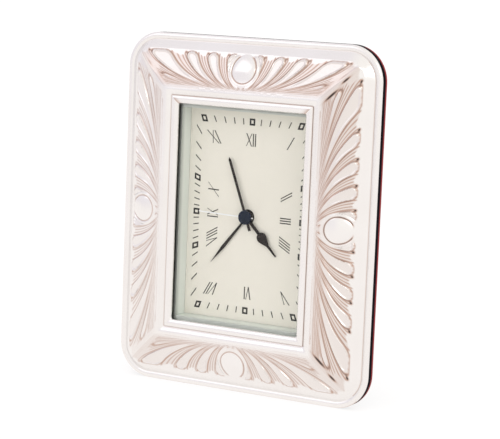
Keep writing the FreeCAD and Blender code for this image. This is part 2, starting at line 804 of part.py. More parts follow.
def make_numeral(hour):
    angle = hour_direction(hour)
    row = half(NUMERAL_ROW_INNER + NUMERAL_ROW_OUTER)
    if hour in NUMERAL_ROW_CENTRES:
        centre, out, along, slip = band_place(angle, SQUARE_COLUMN, row)
        centre.x = NUMERAL_ROW_CENTRES[hour]
        reach = half(NUMERAL_ROW_OUTER - NUMERAL_ROW_INNER)
    else:
        column = half(NUMERAL_COLUMN_INNER + NUMERAL_COLUMN_OUTER)
        centre, out, along, slip = band_place(angle, column, SQUARE_ROW)
        reach = half(NUMERAL_COLUMN_OUTER - NUMERAL_COLUMN_INNER)
    lean = out + along * slip
    # Strokes that lean stand further apart along the band, as wide apart as upright ones
    spread = math.hypot(1, slip)
    solids = []
    for at_outer, at_inner, width in numeral_strokes(NUMERALS[hour]):
        outer_point = centre + lean * reach + along * (at_outer * spread)
        inner_point = centre - lean * reach + along * (at_inner * spread)
        solids.append(stroke_solid(outer_point, inner_point, along, width))
        for point, inward in ((outer_point, -1), (inner_point, 1)):
            foot = point + lean * (inward * SERIF_HEIGHT)
            solids.append(stroke_solid(point, foot, along, width + 2 * SERIF_REACH))
    return solids[0].fuse(solids[1:]).removeSplitter()


def make_dial_numerals():
    return printed([make_numeral(hour) for hour in range(HOURS)])


# Toothed wheels

def involute(angle):
    return math.tan(angle) - angle


def toothed(teeth, module, z_high, thickness, phase, x=0, y=0):
    # A spur wheel with involute flanks and one tooth centred at the phase angle.
    pitch = half(teeth * module)
    base = pitch * math.cos(math.radians(PRESSURE_ANGLE))
    tip = pitch + ADDENDUM_SHARE * module
    root = pitch - DEDENDUM_SHARE * module
    start = max(base, root)
    half_tooth = math.pi * TOOTH_SHARE / teeth
    flank = []
    for step in range(FLANK_STEPS + 1):
        radius = start + (tip - start) * step / FLANK_STEPS
        opening = involute(math.acos(min(base / radius, 1)))
        flank.append((radius, half_tooth + involute(math.radians(PRESSURE_ANGLE)) - opening))
    if root < start:
        flank.insert(0, (root, flank[0][1]))
    points = []
    for tooth in range(teeth):
        centre = math.radians(phase) + 2 * math.pi * tooth / teeth
        for radius, offset in flank:
            direction = centre - offset
            points.append((x + radius * math.cos(direction), y + radius * math.sin(direction)))
        for radius, offset in reversed(flank):
            direction = centre + offset
            points.append((x + radius * math.cos(direction), y + radius * math.sin(direction)))
    return flat_shape(points, z_high - thickness, z_high)


def meshed_phase(driver_teeth, driver_phase, direction, teeth):
    # The phase that puts a wheel in mesh with its driver, seen along a direction.
    turns = driver_teeth * (driver_phase - direction) / FULL_TURN
    return direction + HALF_TURN + (FULL_TURN / teeth) * (half(1) - turns)


def beside(x, y, distance, direction):
    turn = math.radians(direction)
    return x + distance * math.cos(turn), y + distance * math.sin(turn)


def layer(depth):
    return CASE_FLOOR_Z - depth


def centre_distance(teeth, other_teeth, module):
    return half((teeth + other_teeth) * module)


MOTION_DISTANCE = centre_distance(CANNON_TEETH, MOTION_TEETH, MOTION_MODULE)
HOUR_MODULE = 2 * MOTION_DISTANCE / (MOTION_PINION_TEETH + HOUR_TEETH)
THIRD_DISTANCE = centre_distance(CENTRE_TEETH, THIRD_PINION_TEETH, CENTRE_MODULE)
THIRD_MODULE = 2 * THIRD_DISTANCE / (THIRD_TEETH + SECOND_PINION_TEETH)
INTERMEDIATE_DISTANCE = centre_distance(SECOND_TEETH, INTERMEDIATE_PINION_TEETH, SECOND_MODULE)
ROTOR_DISTANCE = centre_distance(INTERMEDIATE_TEETH, ROTOR_PINION_TEETH, ROTOR_MODULE)
TIME_KNOB_DISTANCE = centre_distance(MOTION_TEETH, TIME_KNOB_TEETH, MOTION_MODULE)
ALARM_KNOB_DISTANCE = centre_distance(ALARM_WHEEL_TEETH, ALARM_KNOB_TEETH, ALARM_MODULE)
MOTION_X, MOTION_Y = beside(0, 0, MOTION_DISTANCE, MOTION_DIRECTION)
THIRD_X, THIRD_Y = beside(0, 0, THIRD_DISTANCE, THIRD_DIRECTION)
INTERMEDIATE_X, INTERMEDIATE_Y = beside(0, 0, INTERMEDIATE_DISTANCE, INTERMEDIATE_DIRECTION)
ROTOR_X, ROTOR_Y = beside(INTERMEDIATE_X, INTERMEDIATE_Y, ROTOR_DISTANCE, ROTOR_DIRECTION)
TIME_KNOB_X, TIME_KNOB_Y = beside(MOTION_X, MOTION_Y, TIME_KNOB_DISTANCE, TIME_KNOB_DIRECTION)
ALARM_KNOB_X, ALARM_KNOB_Y = beside(0, 0, ALARM_KNOB_DISTANCE, ALARM_KNOB_DIRECTION)
MOTION_PHASE = meshed_phase(CANNON_TEETH, 0, MOTION_DIRECTION, MOTION_TEETH)


def arbor(x, y):
    # A pivoted arbor from the case floor to the bridge.
    front = CASE_FLOOR_Z + PIVOT_DEPTH - PIVOT_END_GAP
    return drum(x, y, BRIDGE_REAR_Z, front, ARBOR_RADIUS)


def hand_z(step):
    return DIAL_Z + HAND_LIFT + step * HAND_STEP


def make_alarm_wheel():
    bore = HOUR_TUBE_RADIUS + SLIDE_GAP
    wheel = toothed(
        ALARM_WHEEL_TEETH, ALARM_MODULE, layer(ALARM_LAYER), WHEEL_THICKNESS, 0
    )
    tube_rear = layer(ALARM_LAYER) - WHEEL_THICKNESS
    tube = drum(0, 0, tube_rear, hand_z(0) + HAND_THICKNESS, ALARM_TUBE_RADIUS)
    return wheel.fuse(tube).cut(drum(0, 0, CASE_REAR_Z, OVERRUN, bore)).removeSplitter()


def make_hour_wheel():
    bore = CANNON_RADIUS + SLIDE_GAP
    phase = meshed_phase(MOTION_PINION_TEETH, MOTION_DIRECTION, MOTION_DIRECTION + HALF_TURN, HOUR_TEETH)
    wheel = toothed(HOUR_TEETH, HOUR_MODULE, layer(HOUR_LAYER), WHEEL_THICKNESS, phase)
    tube = drum(0, 0, layer(HOUR_LAYER) - WHEEL_THICKNESS, hand_z(1) + HAND_THICKNESS, HOUR_TUBE_RADIUS)
    return wheel.fuse(tube).cut(drum(0, 0, CASE_REAR_Z, OVERRUN, bore)).removeSplitter()


def make_cannon_pinion():
    bore = SECOND_ARBOR_RADIUS + SLIDE_GAP
    pinion = toothed(CANNON_TEETH, MOTION_MODULE, layer(MOTION_LAYER), PINION_THICKNESS, 0)
    tube_rear = layer(CENTRE_LAYER) - WHEEL_THICKNESS
    tube = drum(0, 0, tube_rear, hand_z(2) + HAND_THICKNESS, CANNON_RADIUS)
    return pinion.fuse(tube).cut(drum(0, 0, CASE_REAR_Z, OVERRUN, bore)).removeSplitter()


def make_motion_wheel():
    wheel = toothed(
        MOTION_TEETH,
        MOTION_MODULE,
        layer(MOTION_LAYER),
        WHEEL_THICKNESS,
        MOTION_PHASE,
        MOTION_X,
        MOTION_Y,
    )
    pinion_z = layer(HOUR_LAYER) + half(PINION_THICKNESS - WHEEL_THICKNESS)
    pinion = toothed(
        MOTION_PINION_TEETH,
        HOUR_MODULE,
        pinion_z,
        pinion_z - layer(MOTION_LAYER),
        MOTION_DIRECTION,
        MOTION_X,
        MOTION_Y,
    )
    return wheel.fuse(pinion).fuse(arbor(MOTION_X, MOTION_Y)).removeSplitter()


def make_centre_wheel():
    # It grips the cannon's tube lightly, so that the hands can be set.
    wheel = toothed(CENTRE_TEETH, CENTRE_MODULE, layer(CENTRE_LAYER), WHEEL_THICKNESS, 0)
    return wheel.cut(drum(0, 0, CASE_REAR_Z, OVERRUN, CANNON_RADIUS + SLIDE_GAP))


def make_third_wheel():
    pinion_phase = meshed_phase(CENTRE_TEETH, 0, THIRD_DIRECTION, THIRD_PINION_TEETH)
    pinion_z = layer(CENTRE_LAYER) + half(PINION_THICKNESS - WHEEL_THICKNESS)
    pinion = toothed(
        THIRD_PINION_TEETH,
        CENTRE_MODULE,
        pinion_z,
        pinion_z - layer(THIRD_LAYER),
        pinion_phase,
        THIRD_X,
        THIRD_Y,
    )
    wheel = toothed(
        THIRD_TEETH,
        THIRD_MODULE,
        layer(THIRD_LAYER),
        WHEEL_THICKNESS,
        THIRD_DIRECTION,
        THIRD_X,
        THIRD_Y,
    )
    return wheel.fuse(pinion).fuse(arbor(THIRD_X, THIRD_Y)).removeSplitter()


def make_seconds_wheel():
    pinion_phase = meshed_phase(
        THIRD_TEETH, THIRD_DIRECTION, THIRD_DIRECTION + HALF_TURN, SECOND_PINION_TEETH
    )
    pinion_z = layer(THIRD_LAYER) + half(PINION_THICKNESS - WHEEL_THICKNESS)
    pinion = toothed(
        SECOND_PINION_TEETH,
        THIRD_MODULE,
        pinion_z,
        pinion_z - layer(SECOND_LAYER),
        pinion_phase,
    )
    wheel = toothed(SECOND_TEETH, SECOND_MODULE, layer(SECOND_LAYER), WHEEL_THICKNESS, 0)
    shaft = drum(0, 0, BRIDGE_REAR_Z, hand_z(3) + HAND_THICKNESS, SECOND_ARBOR_RADIUS)
    return wheel.fuse(pinion).fuse(shaft).removeSplitter()


def make_intermediate_wheel():
    pinion_phase = meshed_phase(SECOND_TEETH, 0, INTERMEDIATE_DIRECTION, INTERMEDIATE_PINION_TEETH)
    pinion_z = layer(SECOND_LAYER) + half(PINION_THICKNESS - WHEEL_THICKNESS)
    pinion = toothed(
        INTERMEDIATE_PINION_TEETH,
        SECOND_MODULE,
        pinion_z,
        pinion_z - layer(INTERMEDIATE_LAYER),
        pinion_phase,
        INTERMEDIATE_X,
        INTERMEDIATE_Y,
    )
    wheel = toothed(
        INTERMEDIATE_TEETH,
        ROTOR_MODULE,
        layer(INTERMEDIATE_LAYER),
        WHEEL_THICKNESS,
        ROTOR_DIRECTION,
        INTERMEDIATE_X,
        INTERMEDIATE_Y,
    )
    return wheel.fuse(pinion).fuse(arbor(INTERMEDIATE_X, INTERMEDIATE_Y)).removeSplitter()


def make_rotor():
    phase = meshed_phase(INTERMEDIATE_TEETH, ROTOR_DIRECTION, ROTOR_DIRECTION, ROTOR_PINION_TEETH)
    pinion_z = layer(INTERMEDIATE_LAYER) + half(PINION_THICKNESS - WHEEL_THICKNESS)
    pinion = toothed(
        ROTOR_PINION_TEETH, ROTOR_MODULE, pinion_z, PINION_THICKNESS, phase, ROTOR_X, ROTOR_Y
    )
    magnet_z = layer(MAGNET_LAYER)
    magnet = drum(ROTOR_X, ROTOR_Y, magnet_z - MAGNET_LENGTH, magnet_z, MAGNET_RADIUS)
    return magnet.fuse(pinion).fuse(arbor(ROTOR_X, ROTOR_Y)).removeSplitter()


# Hands

def bar(width, low, high, z):
    return box(-half(width), half(width), low, high, z, z + HAND_THICKNESS)


def with_hub(blade, radius, bore, z):
    hole = drum(0, 0, z - OVERRUN, z + OVERRUN, bore)
    return blade.fuse(drum(0, 0, z, z + HAND_THICKNESS, radius)).cut(hole).removeSplitter()


def make_alarm_hand():
    z = hand_z(0)
    root = half(ALARM_ROOT_WIDTH)
    wide = half(ALARM_WIDTH)
    points = [(-root, 0), (root, 0), (wide, ALARM_WIDEST), (0, ALARM_LENGTH), (-wide, ALARM_WIDEST)]
    blade = flat_shape(points, z, z + HAND_THICKNESS)
    return clock_hand(with_hub(blade, ALARM_HUB_RADIUS, ALARM_TUBE_RADIUS, z), ALARM_ANGLE)


def make_hour_hand():
    z = hand_z(1)
    lobe = drum(0, HOUR_LOBE_CENTRE, z, z + HAND_THICKNESS, HOUR_LOBE_RADIUS)
    stem = bar(HOUR_STEM_WIDTH, 0, HOUR_LOBE_CENTRE, z)
    # The two edges leave the lobe as tangents, down to a shoulder, and a thin tip follows.
    slope = math.asin((HOUR_LOBE_RADIUS - half(HOUR_SHOULDER_WIDTH)) / HOUR_SHOULDER)
    wide = HOUR_LOBE_RADIUS * math.cos(slope)
    rise = HOUR_LOBE_CENTRE + HOUR_LOBE_RADIUS * math.sin(slope)
    shoulder = HOUR_LOBE_CENTRE + HOUR_SHOULDER
    points = [
        (-wide, rise),
        (wide, rise),
        (half(HOUR_SHOULDER_WIDTH), shoulder),
        (half(HOUR_TIP_WIDTH), HOUR_LENGTH),
        (-half(HOUR_TIP_WIDTH), HOUR_LENGTH),
        (-half(HOUR_SHOULDER_WIDTH), shoulder),
    ]
    blade = lobe.fuse(stem).fuse(flat_shape(points, z, z + HAND_THICKNESS))
    return clock_hand(with_hub(blade, HOUR_HUB_RADIUS, HOUR_TUBE_RADIUS, z), HOUR_ANGLE)


def make_minute_hand():
    z = hand_z(2)
    wide = half(MINUTE_WIDTH)
    points = [
        (-wide, -MINUTE_TAIL),
        (wide, -MINUTE_TAIL),
        (wide, MINUTE_LENGTH - MINUTE_POINT),
        (0, MINUTE_LENGTH),
        (-wide, MINUTE_LENGTH - MINUTE_POINT),
    ]
    blade = flat_shape(points, z, z + HAND_THICKNESS)
    return clock_hand(with_hub(blade, MINUTE_HUB_RADIUS, CANNON_RADIUS, z), MINUTE_ANGLE)


def make_second_hand():
    z = hand_z(3)
    blade = bar(SECOND_WIDTH, -SECOND_TAIL, SECOND_LENGTH, z)
    return clock_hand(with_hub(blade, SECOND_HUB_RADIUS, SECOND_ARBOR_RADIUS, z), SECOND_ANGLE)


def make_hub_cap():
    z = hand_z(3) + HAND_THICKNESS
    cap = drum(0, 0, z, z + CAP_THICKNESS, CAP_RADIUS)
    top = [e for e in cap.Edges if abs(e.BoundBox.ZMin - z - CAP_THICKNESS) < CAP_ROUND / 4]
    return cap.makeFillet(CAP_ROUND, top)


# Movement case

def bridge_post_places():
    size = CASE_INNER_HALF
    return [(x_share * size, y_share * size) for x_share, y_share in BRIDGE_POST_SHARES]


def circuit_post_places():
    reach = half(CIRCUIT_WIDTH) - 2 * BOARD_POST_RADIUS
    return [(CIRCUIT_X - reach, CIRCUIT_Y), (CIRCUIT_X + reach, CIRCUIT_Y)]


def coil_top():
    return COIL_Y + half(COIL_LENGTH)


def coil_bottom():
    return COIL_Y - half(COIL_LENGTH)


def stator_post_places():
    low = coil_bottom() - half(STATOR_BAR)
    high = coil_top() + half(STATOR_BAR)
    return [(COIL_X, low), (COIL_X, high)]


def pivot_places():
    return [
        (MOTION_X, MOTION_Y),
        (THIRD_X, THIRD_Y),
        (INTERMEDIATE_X, INTERMEDIATE_Y),
        (ROTOR_X, ROTOR_Y),
    ]


def make_movement_base():
    outer = slab(CASE_HALF, CASE_HALF, CASE_CORNER, CASE_SPLIT_Z, CASE_FRONT_Z)
    inner = slab(
        CASE_INNER_HALF,
        CASE_INNER_HALF,
        CASE_CORNER - CASE_WALL,
        CASE_SPLIT_Z - OVERRUN,
        CASE_FLOOR_Z,
    )
    base = outer.cut(inner)
    for x, y in ear_places():
        ear = box(
            x - half(EAR_REACH),
            x + half(EAR_REACH),
            y - half(EAR_LENGTH),
            y + half(EAR_LENGTH),
            CASE_FRONT_Z - EAR_THICKNESS,
            CASE_FRONT_Z,
        )
        base = base.fuse(ear)
        base = base.cut(drum(x, y, CASE_SPLIT_Z, OVERRUN, CASE_SCREW_RADIUS))
    bearing_top = CASE_FRONT_Z + TRAY_FLOOR - SLIDE_GAP
    base = base.fuse(drum(0, 0, CASE_FRONT_Z, bearing_top, BEARING_RADIUS))
    base = base.cut(drum(0, 0, CASE_SPLIT_Z, OVERRUN, ALARM_TUBE_RADIUS + SLIDE_GAP))
    for x, y in bridge_post_places():
        base = base.fuse(drum(x, y, BRIDGE_FRONT_Z, CASE_FLOOR_Z, BRIDGE_POST_RADIUS))
        screw_depth = BRIDGE_SCREW_LENGTH - BRIDGE_THICKNESS
        hole = drum(x, y, BRIDGE_FRONT_Z, BRIDGE_FRONT_Z + screw_depth, BRIDGE_SCREW_RADIUS)
        base = base.cut(hole)
    for x, y in circuit_post_places():
        base = base.fuse(drum(x, y, layer(CIRCUIT_LAYER), CASE_FLOOR_Z, BOARD_POST_RADIUS))
    for x, y in stator_post_places():
        base = base.fuse(drum(x, y, layer(STATOR_LAYER), CASE_FLOOR_Z, STATOR_POST_RADIUS))
    for x, y in pivot_places():
        hole = drum(x, y, CASE_SPLIT_Z, CASE_FLOOR_Z + PIVOT_DEPTH, ARBOR_RADIUS + RUN_GAP)
        base = base.cut(hole)
    for x, y in ((TIME_KNOB_X, TIME_KNOB_Y), (ALARM_KNOB_X, ALARM_KNOB_Y)):
        hole = drum(x, y, CASE_SPLIT_Z, CASE_FLOOR_Z + PIVOT_DEPTH, ARBOR_RADIUS + RUN_GAP)
        base = base.cut(hole)
    return base.removeSplitter()


def make_movement_cover():
    outer = slab(CASE_HALF, CASE_HALF, CASE_CORNER, CASE_REAR_Z, CASE_SPLIT_Z)
    inner = slab(
        CASE_INNER_HALF,
        CASE_INNER_HALF,
        CASE_CORNER - CASE_WALL,
        CASE_CEILING_Z,
        CASE_SPLIT_Z + OVERRUN,
    )
    cover = outer.cut(inner)
    seat_z = CASE_CEILING_Z + SOUNDER_SEAT
    seat = drum(SOUNDER_X, SOUNDER_Y, CASE_CEILING_Z, seat_z, SOUNDER_RADIUS)
    seat_hole = drum(
        SOUNDER_X, SOUNDER_Y, CASE_CEILING_Z, seat_z, SOUNDER_RADIUS - SOUNDER_SEAT_WIDTH
    )
    cover = cover.fuse(seat.cut(seat_hole))
    for index in range(SOUND_HOLE_COUNT):
        x, y = beside(SOUNDER_X, SOUNDER_Y, SOUND_HOLE_RING, FULL_TURN * index / SOUND_HOLE_COUNT)
        cover = cover.cut(drum(x, y, CASE_REAR_Z - OVERRUN, CASE_SPLIT_Z, SOUND_HOLE_RADIUS))
    for x, y in ((TIME_KNOB_X, TIME_KNOB_Y), (ALARM_KNOB_X, ALARM_KNOB_Y)):
        hole = drum(x, y, CASE_REAR_Z - OVERRUN, CASE_SPLIT_Z, KNOB_SHAFT_RADIUS + RUN_GAP)
        cover = cover.cut(hole)
    slot = box(
        SWITCH_X - half(SWITCH_KNOB_WIDTH) - SLIDE_GAP,
        SWITCH_X + half(SWITCH_KNOB_WIDTH) + SWITCH_TRAVEL + SLIDE_GAP,
        SWITCH_Y - half(SWITCH_KNOB_HEIGHT) - SLIDE_GAP,
        SWITCH_Y + half(SWITCH_KNOB_HEIGHT) + SLIDE_GAP,
        CASE_REAR_Z - OVERRUN,
        CASE_SPLIT_Z,
    )
    cover = cover.cut(slot)
    door_hole = box(
        -half(DOOR_WIDTH) - SLIDE_GAP,
        half(DOOR_WIDTH) + SLIDE_GAP,
        -CASE_HALF - OVERRUN,
        DOOR_TOP + SLIDE_GAP,
        CASE_REAR_Z - OVERRUN,
        CASE_CEILING_Z,
    )
    tongue_groove = box(
        -half(DOOR_WIDTH) - DOOR_TONGUE - SLIDE_GAP,
        half(DOOR_WIDTH) + DOOR_TONGUE + SLIDE_GAP,
        -CASE_HALF - OVERRUN,
        DOOR_TOP + SLIDE_GAP,
        DOOR_INNER_Z - DOOR_TONGUE_THICKNESS - SLIDE_GAP,
        DOOR_INNER_Z + SLIDE_GAP,
    )
    return cover.cut(door_hole).cut(tongue_groove).removeSplitter()


def make_battery_door():
    panel = box(
        -half(DOOR_WIDTH),
        half(DOOR_WIDTH),
        -CASE_HALF,
        DOOR_TOP,
        DOOR_OUTER_Z,
        DOOR_INNER_Z,
    )
    tongue = box(
        -half(DOOR_WIDTH) - DOOR_TONGUE,
        half(DOOR_WIDTH) + DOOR_TONGUE,
        -CASE_HALF + CASE_CORNER,
        DOOR_TOP,
        DOOR_INNER_Z - DOOR_TONGUE_THICKNESS,
        DOOR_INNER_Z,
    )
    door = panel.fuse(tongue)
    first = half(DOOR_TOP - CASE_HALF) - half((DOOR_GRIP_COUNT - 1) * DOOR_GRIP_PITCH)
    for index in range(DOOR_GRIP_COUNT):
        y = first + index * DOOR_GRIP_PITCH
        rib = box(
            -half(DOOR_GRIP_LENGTH),
            half(DOOR_GRIP_LENGTH),
            y - half(DOOR_GRIP_WIDTH),
            y + half(DOOR_GRIP_WIDTH),
            DOOR_OUTER_Z - DOOR_GRIP_HEIGHT,
            DOOR_OUTER_Z,
        )
        door = door.fuse(rib)
    return door.removeSplitter()


def make_train_bridge():
    post = BRIDGE_POST_RADIUS
    places = bridge_post_places()
    low_x = min(x for x, y in places) - post
    high_x = max(x for x, y in places) + post
    low_y = min(y for x, y in places) - post
    high_y = max(y for x, y in places) + post
    bridge = box(low_x, high_x, low_y, high_y, BRIDGE_REAR_Z, BRIDGE_FRONT_Z)
    for x, y in places:
        bridge = bridge.cut(drum(x, y, BRIDGE_REAR_Z, BRIDGE_FRONT_Z, BRIDGE_SCREW_RADIUS))
    for x, y in pivot_places():
        bridge = bridge.cut(drum(x, y, BRIDGE_REAR_Z, BRIDGE_FRONT_Z, ARBOR_RADIUS + RUN_GAP))
    bridge = bridge.cut(drum(0, 0, BRIDGE_REAR_Z, BRIDGE_FRONT_Z, SECOND_ARBOR_RADIUS + RUN_GAP))
    for x, y in ((TIME_KNOB_X, TIME_KNOB_Y), (ALARM_KNOB_X, ALARM_KNOB_Y)):
        hole = drum(x, y, BRIDGE_REAR_Z, BRIDGE_FRONT_Z, KNOB_SHAFT_RADIUS + SEAT_GAP)
        bridge = bridge.cut(hole)
    return bridge


def screw(x, y, head_z, head, head_radius, radius, length):
    # A pan-headed screw driven in from behind; head_z is the seat of its head.
    shank = drum(x, y, head_z, head_z + length, radius)
    return shank.fuse(drum(x, y, head_z - head, head_z, head_radius)).removeSplitter()


def make_bridge_screws():
    screws = []
    for x, y in bridge_post_places():
        screws.append(
            screw(
                x,
                y,
                BRIDGE_REAR_Z,
                BRIDGE_SCREW_HEAD,
                BRIDGE_SCREW_HEAD_RADIUS,
                BRIDGE_SCREW_RADIUS,
                BRIDGE_SCREW_LENGTH,
            )
        )
    return Part.makeCompound(screws)


def make_case_screws():
    screws = []
    for x, y in ear_places():
        screws.append(
            screw(
                x,
                y,
                CASE_FRONT_Z - EAR_THICKNESS,
                CASE_SCREW_HEAD,
                CASE_SCREW_HEAD_RADIUS,
                CASE_SCREW_RADIUS,
                CASE_SCREW_LENGTH + EAR_THICKNESS,
            )
        )
    return Part.makeCompound(screws)


# Motor, circuit, sounder and battery

def make_stator():
    z_high = layer(STATOR_LAYER)
    z_low = z_high - STATOR_THICKNESS
    hole = MAGNET_RADIUS + STATOR_GAP
    ring = drum(ROTOR_X, ROTOR_Y, z_low, z_high, hole + STATOR_RING_WIDTH)
    bar_half = half(STATOR_BAR)
    lower_y = coil_bottom() - bar_half
    upper_y = coil_top() + bar_half
    arm_x = ROTOR_X + hole + half(STATOR_RING_WIDTH)
    right = COIL_X + bar_half
    lower = box(ROTOR_X, right, lower_y - bar_half, lower_y + bar_half, z_low, z_high)
    upper = box(arm_x - bar_half, right, upper_y - bar_half, upper_y + bar_half, z_low, z_high)
    rise = box(arm_x - bar_half, arm_x + bar_half, ROTOR_Y, upper_y + bar_half, z_low, z_high)
    core = box(
        COIL_X - half(bar_half),
        COIL_X + half(bar_half),
        lower_y - bar_half,
        upper_y + bar_half,
        z_low,
        z_high,
    )
    plate = ring.fuse([lower, upper, rise, core])
    return plate.cut(drum(ROTOR_X, ROTOR_Y, z_low, z_high, hole)).removeSplitter()


def make_coil():
    middle_z = layer(STATOR_LAYER) - half(STATOR_THICKNESS)
    bottom = Vector(COIL_X, coil_bottom(), middle_z)
    winding = Part.makeCylinder(COIL_RADIUS, COIL_LENGTH, bottom, Vector(0, 1, 0))
    core_half = half(half(STATOR_BAR))
    core = box(
        COIL_X - core_half,
        COIL_X + core_half,
        coil_bottom(),
        coil_top(),
        middle_z - half(STATOR_THICKNESS),
        middle_z + half(STATOR_THICKNESS),
    )
    return winding.cut(core)


def make_circuit_board():
    z_high = layer(CIRCUIT_LAYER)
    z_low = z_high - CIRCUIT_THICKNESS
    plate = box(
        CIRCUIT_X - half(CIRCUIT_WIDTH),
        CIRCUIT_X + half(CIRCUIT_WIDTH),
        CIRCUIT_Y - half(CIRCUIT_HEIGHT),
        CIRCUIT_Y + half(CIRCUIT_HEIGHT),
        z_low,
        z_high,
    )
    sphere_radius = half(CHIP_RADIUS * CHIP_RADIUS / CHIP_HEIGHT + CHIP_HEIGHT)
    chip_x = CIRCUIT_X - half(half(CIRCUIT_WIDTH))
    ball = Part.makeSphere(sphere_radius, Vector(chip_x, CIRCUIT_Y, z_low - CHIP_HEIGHT + sphere_radius))
    chip = ball.common(drum(chip_x, CIRCUIT_Y, z_low - CHIP_HEIGHT, z_low, CHIP_RADIUS))
    return plate.fuse(chip).removeSplitter()


def make_quartz_crystal():
    z = layer(CIRCUIT_LAYER) - CIRCUIT_THICKNESS - CRYSTAL_RADIUS
    start = Vector(CIRCUIT_X + CRYSTAL_RADIUS, CIRCUIT_Y + half(half(CIRCUIT_HEIGHT)), z)
    return Part.makeCylinder(CRYSTAL_RADIUS, CRYSTAL_LENGTH, start, Vector(1, 0, 0))


def make_sounder_disc():
    z = CASE_CEILING_Z + SOUNDER_SEAT
    return drum(SOUNDER_X, SOUNDER_Y, z, z + SOUNDER_THICKNESS, SOUNDER_RADIUS)


def make_battery():
    along = Vector(1, 0, 0)
    left = -half(CELL_LENGTH)
    body = Part.makeCylinder(CELL_RADIUS, CELL_LENGTH, Vector(left, CELL_Y, CELL_Z), along)
    nub_start = Vector(left + CELL_LENGTH, CELL_Y, CELL_Z)
    nub = Part.makeCylinder(CELL_NUB_RADIUS, CELL_NUB, nub_start, along)
    return body.fuse(nub)


def contact_plate(inner_x, outer_x):
    return box(
        min(inner_x, outer_x),
        max(inner_x, outer_x),
        CELL_Y - half(CONTACT_WIDTH),
        CELL_Y + half(CONTACT_WIDTH),
        CELL_Z - half(CONTACT_HEIGHT),
        CELL_Z + half(CONTACT_HEIGHT),
    )


def make_plus_contact():
    wall = CASE_INNER_HALF
    plate = contact_plate(wall - CONTACT_THICKNESS, wall)
    tip = half(CELL_LENGTH) + CELL_NUB
    start = Vector(tip, CELL_Y, CELL_Z)
    length = wall - CONTACT_THICKNESS - tip
    return plate.fuse(Part.makeCylinder(CELL_NUB_RADIUS, length, start, Vector(1, 0, 0)))


def make_minus_contact():
    wall = -CASE_INNER_HALF
    plate = contact_plate(wall + CONTACT_THICKNESS, wall)
    start = Vector(wall + CONTACT_THICKNESS, CELL_Y, CELL_Z)
    length = -half(CELL_LENGTH) - wall - CONTACT_THICKNESS
    cone = Part.makeCone(CONTACT_SPRING_RADIUS, CELL_NUB_RADIUS, length, start, Vector(1, 0, 0))
    return plate.fuse(cone)


# Knobs and switch

def make_knob(x, y):
    high = CASE_REAR_Z - KNOB_GAP
    low = high - KNOB_HEIGHT
    knob = drum(x, y, low, high, KNOB_RADIUS)
    for index in range(KNOB_FLUTES):
        flute_x, flute_y = beside(x, y, KNOB_RADIUS, FULL_TURN * index / KNOB_FLUTES)
        knob = knob.cut(drum(flute_x, flute_y, low, high, KNOB_FLUTE_RADIUS))
    return knob.cut(drum(x, y, low + half(KNOB_HEIGHT), high, KNOB_SHAFT_RADIUS))


def make_knob_shaft(x, y, teeth, module, wheel_layer, phase):
    wheel_z = layer(wheel_layer) + half(PINION_THICKNESS - WHEEL_THICKNESS)
    wheel = toothed(teeth, module, wheel_z, PINION_THICKNESS, phase, x, y)
    knob_seat = CASE_REAR_Z - KNOB_GAP - half(KNOB_HEIGHT)
    thick = drum(x, y, knob_seat, wheel_z - PINION_THICKNESS, KNOB_SHAFT_RADIUS)
    front = CASE_FLOOR_Z + PIVOT_DEPTH - PIVOT_END_GAP
    pivot = drum(x, y, wheel_z - PINION_THICKNESS, front, ARBOR_RADIUS)
    return wheel.fuse(thick).fuse(pivot).removeSplitter()


def make_time_knob():
    return make_knob(TIME_KNOB_X, TIME_KNOB_Y)


def make_alarm_knob():
    return make_knob(ALARM_KNOB_X, ALARM_KNOB_Y)


def make_time_knob_shaft():
    phase = meshed_phase(MOTION_TEETH, MOTION_PHASE, TIME_KNOB_DIRECTION, TIME_KNOB_TEETH)
    return make_knob_shaft(
        TIME_KNOB_X, TIME_KNOB_Y, TIME_KNOB_TEETH, MOTION_MODULE, MOTION_LAYER, phase
    )


def make_alarm_knob_shaft():
    phase = meshed_phase(ALARM_WHEEL_TEETH, 0, ALARM_KNOB_DIRECTION, ALARM_KNOB_TEETH)
    return make_knob_shaft(
        ALARM_KNOB_X, ALARM_KNOB_Y, ALARM_KNOB_TEETH, ALARM_MODULE, ALARM_LAYER, phase
    )


def make_alarm_switch():
    plate_z = CASE_CEILING_Z + SLIDE_GAP
    plate = box(
        SWITCH_X - half(SWITCH_PLATE_WIDTH),
        SWITCH_X + half(SWITCH_PLATE_WIDTH) - half(SWITCH_TRAVEL),
        SWITCH_Y - half(SWITCH_PLATE_HEIGHT),
        SWITCH_Y + half(SWITCH_PLATE_HEIGHT),
        plate_z,
        plate_z + SWITCH_PLATE_THICKNESS,
    )
    knob = box(
        SWITCH_X - half(SWITCH_KNOB_WIDTH),
        SWITCH_X + half(SWITCH_KNOB_WIDTH),
        SWITCH_Y - half(SWITCH_KNOB_HEIGHT),
        SWITCH_Y + half(SWITCH_KNOB_HEIGHT),
        CASE_REAR_Z - SWITCH_RISE,
        plate_z + half(SWITCH_PLATE_THICKNESS),
    )
    return plate.fuse(knob).removeSplitter()


# Turn clips, hinge and strut

def make_turn_clip(x, y):
    z_high = BOARD_REAR_Z - SLIDE_GAP
    z_low = z_high - CLIP_THICKNESS
    inward = -math.copysign(1, x)
    reach = CLIP_LENGTH - CLIP_WIDTH
    body = box(
        min(x, x + inward * reach),
        max(x, x + inward * reach),
        y - half(CLIP_WIDTH),
        y + half(CLIP_WIDTH),
        z_low,
        z_high,
    )
    pivot_end = drum(x, y, z_low, z_high, half(CLIP_WIDTH))
    far_end = drum(x + inward * reach, y, z_low, z_high, half(CLIP_WIDTH))
    clip = body.fuse([pivot_end, far_end])
    return clip.cut(drum(x, y, z_low, z_high, CLIP_SCREW_RADIUS + RUN_GAP)).removeSplitter()


